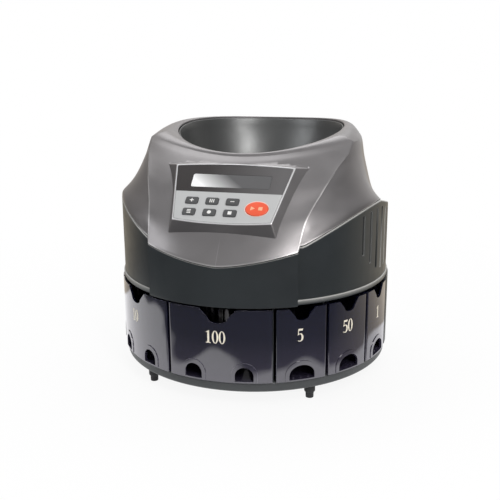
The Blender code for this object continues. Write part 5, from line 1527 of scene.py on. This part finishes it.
@dataclass
class Drawers:
    """The six coin drawers, each with its notch, arches, ribs and number."""

    layout: tuple[tuple[str, float, float], ...] = (
        ("100", 0.0, 2.0), ("5", 1.5, 1.0), ("50", 2.5, 1.0),
        ("1", 3.5, 1.0), ("10", -2.0, 2.0), ("500", -3.5, 1.0),
    )
    wall: float = 0.0022
    floor: float = 0.002
    corner: float = 0.0022
    edge: float = 0.0005
    notch: tuple[float, float] = (0.041, 0.0155)
    narrow_notch: tuple[float, float] = (0.029, 0.013)
    arch_w: float = 0.020
    narrow_arch_w: float = 0.0285
    arch_h: float = 0.018
    arch_spread: float = 10.1
    halo_w: float = 0.0042
    halo_t: float = 0.0008
    halo_lift: float = 0.0006
    halo_depth: float = 0.006
    halo_root: float = 0.001
    halo_side: float = 0.0012
    rib: tuple[float, float] = (0.0016, 0.0012)
    rib_in_r: float = 0.131
    number_shift: float = -0.9
    number_z: float = 0.0700
    narrow_number_z: float = 0.0715

    def notch_outline(self, width: float, depth: float, top: float) -> Outline:
        """List a finger notch: sloping shoulders that run into a round bottom."""
        half, slope, r, rise = width / 2, width * 0.16, width * 0.264, depth * 0.36
        shoulder = top - depth * 0.42
        points = [Vector(p) for p in ((-half, top + OVERRUN), (-half, top), (-half + slope, shoulder))]
        for t in shares(12):
            a = math.pi * (1 + t)
            points.append(Vector((r * math.cos(a), top - depth + rise * (1 + math.sin(a)))))
        points += [Vector(p) for p in ((half - slope, shoulder), (half, top), (half, top + OVERRUN))]
        return eased(points, 0.003, 3, [1, 2, len(points) - 3, len(points) - 2])

    def arch_outline(self, width: float, height: float, low: float, steps: int = 18) -> Outline:
        """List a round-topped arch that stands at a low edge."""
        half = width / 2
        spring = low + max(height - half, height * 0.3)
        points = [Vector((-half, low)), Vector((half, low))]
        for t in shares(steps):
            a = math.pi * t
            points.append(Vector((half * math.cos(a), spring + (low + height - spring) * math.sin(a))))
        return points

    def build(self, dresser: Dresser) -> None:
        """Make every drawer and its number."""
        for name, centre, width in self.layout:
            self.build_drawer(dresser, name, centre * PITCH_DEG, width)

    def build_drawer(self, dresser: Dresser, name: str, middle: float, width: float) -> None:
        """Make one drawer.

        Args:
            dresser: gives the piece its finish.
            name: the number on the drawer.
            middle: the angle of its middle.
            width: its width in pitches.
        """
        half = width * PITCH_DEG / 2
        span = (middle - half, middle + half)
        top = DRAWER_Z + DRAWER_H
        wide = width > 1.0
        plan = wedge(CORE_R, RING_R, span, SEAM_HALF, self.corner)
        drawer = prism("tray_" + name, plan, DRAWER_Z, top)
        arch_w = self.arch_w if wide else self.narrow_arch_w
        near, far = RING_R - self.wall * 4, RING_R + OVERRUN
        sides = (-1, 1) if wide else (0,)
        halos, arches = [], []
        for side in sides:
            place = facing(middle + side * self.arch_spread)
            grown_w = arch_w + 2 * self.halo_w
            halo = self.arch_outline(grown_w, self.arch_h + self.halo_w, DRAWER_Z + self.halo_lift)
            halos.append(prism("halo", halo, RING_R - self.halo_depth, far, place))
            arch = self.arch_outline(arch_w, self.arch_h - self.floor, DRAWER_Z + self.floor)
            arches.append(prism("arch", arch, near, far, place))
        band_side = SEAM_HALF + self.halo_side
        shell_plan = wedge(RING_R - self.halo_root, RING_R + self.halo_t, span, band_side, 0.0)
        band = prism("band", shell_plan, DRAWER_Z, top)
        combine(band, gathered(halos), "INTERSECT")
        fuse(drawer, band)
        inner = wedge(CORE_R + self.wall, RING_R - self.wall, span, SEAM_HALF + self.wall, self.corner)
        cut(drawer, prism("inside", inner, DRAWER_Z + self.floor, top + OVERRUN))
        size = self.notch if wide else self.narrow_notch
        notch = prism("notch", self.notch_outline(*size, top), near, far, facing(middle))
        cut(drawer, notch, *arches)
        ribs = []
        for side in (-1, 0, 1):
            length = RING_R - self.wall - self.rib_in_r
            at = (side * arch_w * 0.3, -(RING_R - self.wall * 1.5 - length / 2), DRAWER_Z + self.floor)
            ribs.append(bar("rib", (self.rib[0], length, self.rib[1] * 2), at, turn(middle)))
        fuse(drawer, *ribs)
        # The second material is a painted highlight, laid on the rounded edges below
        for finish in (SMOKE, SMOKE_EDGE_HIGHLIGHT):
            drawer.data.materials.append(dresser.material(finish))
        round_edges(drawer, self.edge, 2, 35.0, 1)
        smooth(drawer, True)
        body = "drawer_%s_body" % name
        dresser.dress(drawer, body, Slot.DRAWER, SMOKE, "drawer_" + name)
        z = self.number_z if wide else self.narrow_number_z
        number = Digits().build(name, middle + self.number_shift, z)
        number.name = "number_" + name
        smooth(number)
        dresser.dress(number, body, Slot.OVERLAY, CREAM_INK)


@dataclass
class Base:
    """The base tray with its dividers, the feet, and the rear cover with holes for the mains parts."""

    tray_r: float = 0.1574
    divider_t: float = 0.0014
    dividers: tuple[float, ...] = (-4.0, -3.0, -1.0, 1.0, 2.0, 3.0, 4.0)
    divider_out_r: float = 0.151
    divider_h: float = 0.0846
    foot_degs: tuple[float, ...] = (-38.0, 38.0, 141.0, -141.0)
    foot_ring_r: float = 0.147
    foot_r: float = 0.006
    foot_shares: tuple[float, float] = (0.72, 0.75)
    step_z: float = 0.006
    step_h: float = 0.0015
    stem_r: float = 0.003
    stem_h: float = 0.007
    rear_wall: float = 0.003
    hole_corner: float = 0.001
    rear_low: float = 0.0267
    rear_high: float = 0.1107

    def build(self, dresser: Dresser) -> None:
        """Make the base's pieces."""
        self.build_tray(dresser)
        self.build_feet(dresser)
        self.build_rear(dresser)

    def build_tray(self, dresser: Dresser) -> None:
        """Make the tray with its dividers and the sockets for the feet."""
        r = self.tray_r
        profile = ((0.0, BASE_Z), (r - 0.0022, BASE_Z), (r, BASE_Z + 0.0022), (r, TRAY_Z - 0.0011),
                   (r - 0.0011, TRAY_Z), (0.0, TRAY_Z))
        tray = turned("base_plate", profile, 192, round_over=0.001)
        fixtures = []
        r_in = CORE_R
        for pitches in self.dividers:
            size = (self.divider_t, self.divider_out_r - r_in, self.divider_h)
            at = (0.0, -(r_in + self.divider_out_r) / 2, TRAY_Z + size[2] / 2 - GAP)
            wall = bar("divider", size, at, turn(pitches * PITCH_DEG))
            round_edges(wall, 0.0004, 2)
            fixtures.append(wall)
        fuse(tray, *fixtures)
        sockets = []
        for deg in self.foot_degs:
            top = BASE_Z + self.stem_h + GAP
            low = BASE_Z - OVERRUN
            r_hole = self.stem_r + GAP
            hole = ((0.0, low), (r_hole, low), (r_hole, top), (0.0, top))
            sockets.append(turned("socket", hole, 24, polar(self.foot_ring_r, deg, 0.0), 0.0))
        cut(tray, *sockets)
        smooth(tray, True)
        dresser.dress(tray, "root", Slot.BASE, BASE_PLASTIC, "base_tray")

    def build_feet(self, dresser: Dresser) -> None:
        """Make the four stepped rubber feet."""
        r = self.foot_r
        seat, top = BASE_Z - GAP, BASE_Z + self.stem_h
        low_r, high_r = (r * share for share in self.foot_shares)
        profile = ((0.0, 0.0), (low_r, 0.0), (high_r, self.step_z), (r, self.step_z + self.step_h), (r, seat),
                   (self.stem_r, seat), (self.stem_r, top), (0.0, top))
        for number, deg in enumerate(self.foot_degs, 1):
            foot = turned("rubber_foot_%d" % number, profile, 40, polar(self.foot_ring_r, deg, 0.0), 0.0006)
            smooth(foot)
            dresser.dress(foot, "root", Slot.RUBBER, RUBBER, "foot_%d" % number)

    def build_rear(self, dresser: Dresser) -> None:
        """Make the closed rear wall, with holes for the mains inlet and the switch."""
        edge = self.dividers[-1] * PITCH_DEG
        span = (edge, 360.0 - edge)
        plan = wedge(CORE_R, RING_R, span, SEAM_HALF, 0.0015, 2.0)
        cover = prism("rear_wall", plan, self.rear_low, self.rear_high)
        inner = wedge(CORE_R - OVERRUN, RING_R - self.rear_wall, span, SEAM_HALF + self.rear_wall, 0.001, 2.0)
        cut(cover, prism("inside", inner, self.rear_low - OVERRUN, self.rear_high + OVERRUN))
        holes = []
        for fitting in (INLET, SWITCH):
            size = (fitting.width + 2 * GAP, fitting.height + 2 * GAP)
            hole = moved(rounded_box(*size, self.hole_corner), 0.0, fitting.z)
            holes.append(prism("hole", hole, RING_R - 0.012, RING_R + OVERRUN, facing(fitting.deg)))
        cut(cover, *holes)
        round_edges(cover, 0.0005, 2, 35.0)
        smooth(cover, True)
        dresser.dress(cover, "root", Slot.BASE, BASE_PLASTIC, "rear_cover")


@dataclass(frozen=True)
class MainsFitting:
    """A mains part that stands through the rear wall, with a flange outside it."""

    deg: float
    width: float
    height: float
    depth: float
    z: float = 0.058
    face_r: float = 0.1603
    lip: float = 0.002
    flange_t: float = 0.002

    def body(self, name: str) -> bpy.types.Object:
        """Make the body and its flange."""
        inner = moved(rounded_box(self.width, self.height, 0.0012), 0.0, self.z)
        outer = moved(rounded_box(self.width + 2 * self.lip, self.height + 2 * self.lip, 0.002), 0.0, self.z)
        place = facing(self.deg)
        piece = prism(name, inner, self.face_r - self.depth + GAP, self.face_r + GAP, place)
        fuse(piece, prism("flange", outer, self.face_r, self.face_r + self.flange_t, place))
        return piece

    def well(self, width: float, height: float, depth: float, chamfer: float) -> bpy.types.Object:
        """Make the cutter of an opening in the fitting's face, with its top corners chamfered."""
        x, y = width / 2, height / 2
        points = [Vector(p) for p in ((x, -y), (x, y - chamfer), (x - chamfer, y), (-x + chamfer, y),
                                      (-x, y - chamfer), (-x, -y))]
        outline = moved(eased(points, 0.0008), 0.0, self.z)
        front = self.face_r + self.flange_t
        return prism("well", outline, front - depth, front + OVERRUN, facing(self.deg))


INLET = MainsFitting(171.0, 0.030, 0.026, 0.022)
SWITCH = MainsFitting(189.3, 0.015, 0.021, 0.016)


@dataclass
class Mains:
    """The mains inlet with its three pins, and the rocker switch."""

    pin_size: tuple[float, float, float] = (0.0020, 0.0040, 0.0130)
    pin_sink: float = 0.0158
    pin_places: tuple[tuple[float, float], ...] = ((-0.007, -0.002), (0.007, -0.002), (0.0, 0.002))
    tilt_deg: float = 9.0
    rocker_depth: float = 0.007
    rocker_half_h: float = 0.0083
    rocker_half_w: float = 0.0056

    def build(self, dresser: Dresser) -> None:
        """Make the inlet, the switch's frame and its rocker."""
        inlet = INLET.body("mains_inlet")
        cut(inlet, INLET.well(0.024, 0.0165, 0.016, 0.004))
        round_edges(inlet, 0.0004, 2)
        smooth(inlet, True)
        dresser.dress(inlet, "root", Slot.BLACK, BLACK_PLASTIC, "power_inlet")
        front = INLET.face_r + INLET.flange_t
        pins = []
        for x, y in self.pin_places:
            outline = moved(rounded_box(self.pin_size[0], self.pin_size[1], 0.0003, 3), x, INLET.z + y)
            low = front - self.pin_sink
            pins.append(prism("pin", outline, low, low + self.pin_size[2], facing(INLET.deg)))
        blades = gathered(pins)
        blades.name = "inlet_pins"
        round_edges(blades, 0.0003, 2)
        smooth(blades)
        dresser.dress(blades, "root", Slot.STEEL, STEEL)
        housing = SWITCH.body("switch_bezel")
        cut(housing, SWITCH.well(SWITCH.width - 0.0032, SWITCH.height - 0.0032, 0.0164, 0.0))
        round_edges(housing, 0.0003, 2)
        smooth(housing, True)
        dresser.dress(housing, "root", Slot.BLACK, BLACK_PLASTIC, "switch_frame")
        self.build_rocker(dresser)

    def build_rocker(self, dresser: Dresser) -> None:
        """Make the rocker: a shallow V that tilts about a level pin, with plain on and off marks."""
        tilt = math.radians(self.tilt_deg)
        depth = self.rocker_depth
        inner = (self.rocker_half_h - depth * math.sin(tilt)) / math.cos(tilt)
        valley = depth - inner * math.tan(tilt)
        section = [Vector((0.0, valley)), Vector((inner, depth))]
        for t in shares(16):
            a = math.pi * t
            section.append(Vector((inner * math.cos(a), -inner * 0.7 * math.sin(a))))
        section.append(Vector((-inner, depth)))
        section = eased(section, 0.0008, 3, [0, 1, len(section) - 1])
        pivot_r = SWITCH.face_r + SWITCH.flange_t - depth
        lean = Matrix.Rotation(tilt, 4, "X")
        rows = ((0.0, 0.0, 1.0, 0.0), (0.0, -1.0, 0.0, 0.0), (1.0, 0.0, 0.0, 0.0), (0.0, 0.0, 0.0, 1.0))
        upright = Matrix(rows)
        seat = turn(SWITCH.deg) @ Matrix.Translation((0.0, -pivot_r, SWITCH.z))
        place = seat @ lean @ upright
        half = self.rocker_half_w
        rocker = prism("rocker_cap", section, -half, half, place)
        round_edges(rocker, 0.0004, 2)
        smooth(rocker, True)
        dresser.dress(rocker, "rocker", Slot.BLACK, BLACK_PLASTIC, "switch_rocker")
        slope = math.atan2(depth - valley, inner)
        marks = []
        for side, outline in ((1, rounded_box(0.0007, 0.0034, 0.0002, 3)), (-1, oval(0.0032, 0.0032, 24))):
            across = seat @ lean @ Matrix.Translation((0.0, 0.0, side * inner * 0.55))
            level = valley + inner * 0.55 * math.tan(slope)
            wall = across @ Matrix.Rotation(side * slope, 4, "X") @ facing(0.0)
            out = level * math.cos(slope)
            marks.append(prism("mark", outline, out - 0.0002, out + 0.00008, wall))
        legend = gathered(marks)
        legend.name = "rocker_marks"
        smooth(legend)
        dresser.dress(legend, "rocker", Slot.OVERLAY, LEGEND)


@dataclass
class Works:
    """The sorting works under the bowl: disc, cone, deck and the parts that keep their CAD shape."""

    # Profiles as radius and height: the disc with its shallow groove, and the cone over the shaft's end
    disc: Table = (
        (0.005, 0.1174), (0.018, 0.1174), (0.018, 0.119), (0.107, 0.119), (0.107, 0.122), (0.095, 0.122),
        (0.0945, 0.1216), (0.034, 0.1216), (0.033, 0.122), (0.005, 0.122),
    )
    cone: Table = (
        (0.0, 0.1253), (0.005, 0.1253), (0.005, 0.1223), (0.020, 0.1223), (0.0196, 0.1242), (0.0126, 0.1295),
        (0.0060, 0.1359), (0.0, 0.1383),
    )
    cone_round: float = 0.0014
    kept: tuple[tuple[Finish, tuple[str, ...]], ...] = (
        (BASE_PLASTIC, ("core_ring", "sorting_deck")),
        (BLACK_PLASTIC, ("disc_pulley", "motor_pulley", "lcd_module", "power_supply", "coin_sensor_100",
                         "coin_sensor_5", "coin_sensor_50", "coin_sensor_1", "coin_sensor_10",
                         "coin_sensor_500")),
        (STEEL, ("disc_shaft", "sorting_rail", "upper_bearing", "lower_bearing", "motor_shaft",
                 "motor_bracket", "deck_screw_1", "deck_screw_2", "deck_screw_3", "deck_screw_4")),
        (ALLOY, ("bearing_housing", "bearing_spacer", "drive_motor")),
        (BOARD_GREEN, ("main_board", "keypad_board")),
        (BELT_RUBBER, ("drive_belt",)),
    )

    def build(self, dresser: Dresser) -> None:
        """Make the disc and the cone, and give the other works their surfaces."""
        plate = turned("disc_plate", self.disc, 128)
        smooth(plate)
        dresser.dress(plate, "disc", Slot.STEEL, STEEL, "sorting_disc")
        cap = turned("cone_cap", self.cone, 64, round_over=self.cone_round)
        smooth(cap)
        dresser.dress(cap, "disc", Slot.BLACK, BLACK_PLASTIC, "feed_cone")
        for finish, nodes in self.kept:
            for node in nodes:
                dresser.refinish(node, finish)


@dataclass
class Studio:
    """The plain studio: floor, backdrop light, soft lamps and the camera at the photograph's view."""

    camera_at: Vector = field(default_factory=lambda: Vector((0.2313, -0.8884, 0.3738)))
    looks_along: Vector = field(default_factory=lambda: Vector((-0.2502, 0.9336, -0.2564)))
    roll_deg: float = -0.393
    lens: float = 56.11
    floor_size: float = 8.0
    pale: float = 0.82
    shadow_share: float = 0.9
    sheet_r: float = 0.245
    sheet_wave: float = 0.06
    sheet_left: float = 0.17
    table_front: Colour = (0.030, 0.030, 0.034)
    table_back: Colour = (0.62, 0.55, 0.44)
    ceiling: float = 0.42
    # The room that glossy pieces mirror: angle from the front, grey level and warmth
    room: tuple[tuple[float, float, float], ...] = (
        (-180.0, 0.90, 1.0), (-150.0, 0.70, 1.08), (-110.0, 0.16, 1.1), (-65.0, 0.17, 1.0),
        (-30.0, 0.42, 1.0),
        (5.0, 0.44, 1.0), (40.0, 0.60, 1.02), (72.0, 0.22, 1.0), (98.0, 0.07, 1.0), (125.0, 0.42, 1.04),
        (160.0, 0.90, 1.03), (180.0, 0.90, 1.0),
    )
    # Each lamp's name, place, size, power and colour
    lamps: tuple[tuple[str, Colour, tuple[float, float], float, Colour], ...] = (
        ("key_right", (0.80, -0.98, 0.90), (0.36, 1.1), 7.0, (1.0, 0.98, 0.97)),
        ("strip_right", (0.42, -0.78, 1.12), (0.22, 0.7), 3.2, (1.0, 0.98, 0.97)),
        ("fill_left", (-1.5, -0.9, 1.0), (0.9, 0.9), 6.0, (0.97, 0.98, 1.0)),
        ("top", (-0.4, 0.9, 1.8), (2.0, 1.2), 14.0, (1.0, 1.0, 1.0)),
    )

    def build(self) -> None:
        """Set up the whole studio."""
        self.build_camera()
        self.build_floor()
        self.build_world()
        for name, at, size, power, colour in self.lamps:
            self.build_lamp(name, Vector(at), size, power, colour)
        bpy.context.scene.view_settings.view_transform = "Standard"

    def build_camera(self) -> None:
        """Place the camera where the photograph was taken from."""
        forward = self.looks_along.normalized()
        right = forward.cross(Vector((0.0, 0.0, 1.0))).normalized()
        up = right.cross(forward)
        lean = Matrix.Rotation(math.radians(self.roll_deg), 3, -forward)
        right, up = lean @ right, lean @ up
        rows = [(right[i], up[i], -forward[i], self.camera_at[i]) for i in range(3)]
        camera = bpy.data.cameras.new("photo_camera")
        camera.lens = self.lens
        camera.clip_start = 0.01
        camera.clip_end = 50.0
        holder = bpy.data.objects.new("photo_camera", camera)
        bpy.context.scene.collection.objects.link(holder)
        holder.matrix_world = Matrix(rows + [(0.0, 0.0, 0.0, 1.0)])
        bpy.context.scene.camera = holder

    def build_floor(self) -> None:
        """Lay the pale floor, white to the camera and in reflections, with a soft shadow kept."""
        deselect()
        bpy.ops.mesh.primitive_plane_add(size=self.floor_size)
        floor = name_new("studio_floor")
        nodes = Nodes("floor_paper")
        nodes.shader.inputs["Roughness"].default_value = 0.9
        cloud = nodes.ranged(nodes.noise(3.0), 0.3, 0.7)
        tint = nodes.mixed(cloud, (self.pale - 0.01,) * 3, (self.pale,) * 3)
        nodes.link(tint, nodes.shader.inputs["Base Color"])
        away = nodes.add("ShaderNodeVectorMath", operation="LENGTH")
        nodes.link(nodes.place, away.inputs[0])
        path = nodes.add("ShaderNodeLightPath")
        glow = nodes.add("ShaderNodeEmission")
        room = nodes.mixed(path.outputs["Is Camera Ray"], self.mirrored_floor(nodes, away.outputs["Value"]),
                           (1.0, 1.0, 1.0))
        nodes.link(room, glow.inputs["Color"])
        mix = nodes.add("ShaderNodeMixShader")
        near = nodes.ranged(away.outputs["Value"], 0.25, 0.75, self.shadow_share, 1.0)
        nodes.link(nodes.product(self.seen(nodes), near), mix.inputs[0])
        nodes.link(nodes.shader.outputs[0], mix.inputs[1])
        nodes.link(glow.outputs[0], mix.inputs[2])
        nodes.link(mix.outputs[0], nodes.tree.nodes["Material Output"].inputs["Surface"])
        floor.data.materials.append(nodes.material)

    def mirrored_floor(self, nodes: Nodes, away: bpy.types.NodeSocket) -> bpy.types.NodeSocket:
        """Give the floor that glossy pieces mirror: a white sheet, then a dim table, warm towards the back.

        Args:
            nodes: the floor's network.
            away: the distance from the machine's axis.

        Returns:
            The colour.
        """
        wave = nodes.ranged(nodes.noise(4.5, 1.0), 0.3, 0.7, -self.sheet_wave, self.sheet_wave)
        place = nodes.add("ShaderNodeMath", operation="ADD")
        nodes.link(away, place.inputs[0])
        nodes.link(wave, place.inputs[1])
        left = nodes.ranged(nodes.along(Vector((1.0, 0.0, 0.0))), -0.12, -0.40, 0.0, self.sheet_left)
        reach = nodes.add("ShaderNodeMath", operation="SUBTRACT")
        nodes.link(place.outputs[0], reach.inputs[0])
        nodes.link(left, reach.inputs[1])
        back = nodes.ranged(nodes.along(Vector((0.0, 1.0, 0.0))), -0.15, 0.25)
        table = nodes.mixed(back, self.table_front, self.table_back)
        off = nodes.ranged(reach.outputs[0], self.sheet_r, self.sheet_r + 0.02)
        return nodes.mixed(off, (1.0, 1.0, 1.0), table)

    def seen(self, nodes: Nodes) -> bpy.types.NodeSocket:
        """Give 1 for camera, glossy and transmitted rays and 0 for the rest."""
        path = nodes.add("ShaderNodeLightPath")
        total = path.outputs["Is Camera Ray"]
        for key in ("Is Glossy Ray", "Is Transmission Ray"):
            node = nodes.add("ShaderNodeMath", operation="MAXIMUM")
            nodes.link(total, node.inputs[0])
            nodes.link(path.outputs[key], node.inputs[1])
            total = node.outputs[0]
        return total

    def build_world(self) -> None:
        """Light the studio evenly, with a white backdrop behind the machine and a dim room before it."""
        world = bpy.data.worlds.new("studio")
        bpy.context.scene.world = world
        world.use_nodes = True
        tree = world.node_tree
        background = tree.nodes["Background"]
        nodes = Nodes("unused")
        nodes.tree = tree
        way = nodes.add("ShaderNodeTexCoord").outputs["Generated"]
        parts = nodes.add("ShaderNodeSeparateXYZ")
        nodes.link(way, parts.inputs[0])
        behind = nodes.ranged(parts.outputs["Y"], -0.45, 0.15)
        soft = nodes.mixed(behind, (0.24, 0.24, 0.25), (0.9, 0.9, 0.9))
        ahead = nodes.add("ShaderNodeMath", operation="MULTIPLY")
        ahead.inputs[1].default_value = -1.0
        nodes.link(parts.outputs["Y"], ahead.inputs[0])
        angle = nodes.add("ShaderNodeMath", operation="ARCTAN2")
        nodes.link(parts.outputs["X"], angle.inputs[0])
        nodes.link(ahead.outputs[0], angle.inputs[1])
        share = nodes.ranged(angle.outputs[0], -math.pi, math.pi)
        stops = [(0.5 + deg / 360.0, (grey * warm, grey, grey / warm)) for deg, grey, warm in self.room]
        walls = nodes.ramp(share, stops)
        height = nodes.ranged(parts.outputs["Z"], 0.45, 0.85)
        mirrored = nodes.mixed(height, walls, (self.ceiling,) * 3)
        path = nodes.add("ShaderNodeLightPath")
        lit = nodes.mixed(path.outputs["Is Glossy Ray"], soft, mirrored)
        shown = nodes.mixed(path.outputs["Is Camera Ray"], lit, (1.0, 1.0, 1.0))
        nodes.link(shown, background.inputs["Color"])
        background.inputs["Strength"].default_value = 1.0
        bpy.data.materials.remove(nodes.material)

    def build_lamp(self, name: str, at: Vector, size: tuple[float, float], power: float,
                   colour: Colour) -> None:
        """Hang a soft box that faces the machine."""
        lamp = bpy.data.lights.new(name, "AREA")
        lamp.shape = "RECTANGLE"
        lamp.size, lamp.size_y = size
        lamp.energy = power
        lamp.color = colour
        holder = bpy.data.objects.new(name, lamp)
        bpy.context.scene.collection.objects.link(holder)
        aim = Vector((0.0, 0.0, 0.14)) - at
        holder.matrix_world = Matrix.Translation(at) @ aim.to_track_quat("-Z", "Y").to_matrix().to_4x4()


def main() -> None:
    """Dress the machine and set up its studio."""
    logging.basicConfig(level=logging.INFO, format="%(name)s: %(message)s")
    dresser = Dresser()
    assemblies = (Base(), Mains(), Works(), Drawers(), Skirt(), UpperHousing(), Bowl(), Panel())
    for assembly in assemblies:
        assembly.build(dresser)
        LOG.info("%s done", type(assembly).__name__)
    Studio().build()
    deselect()


if __name__ == "__main__":
    main()
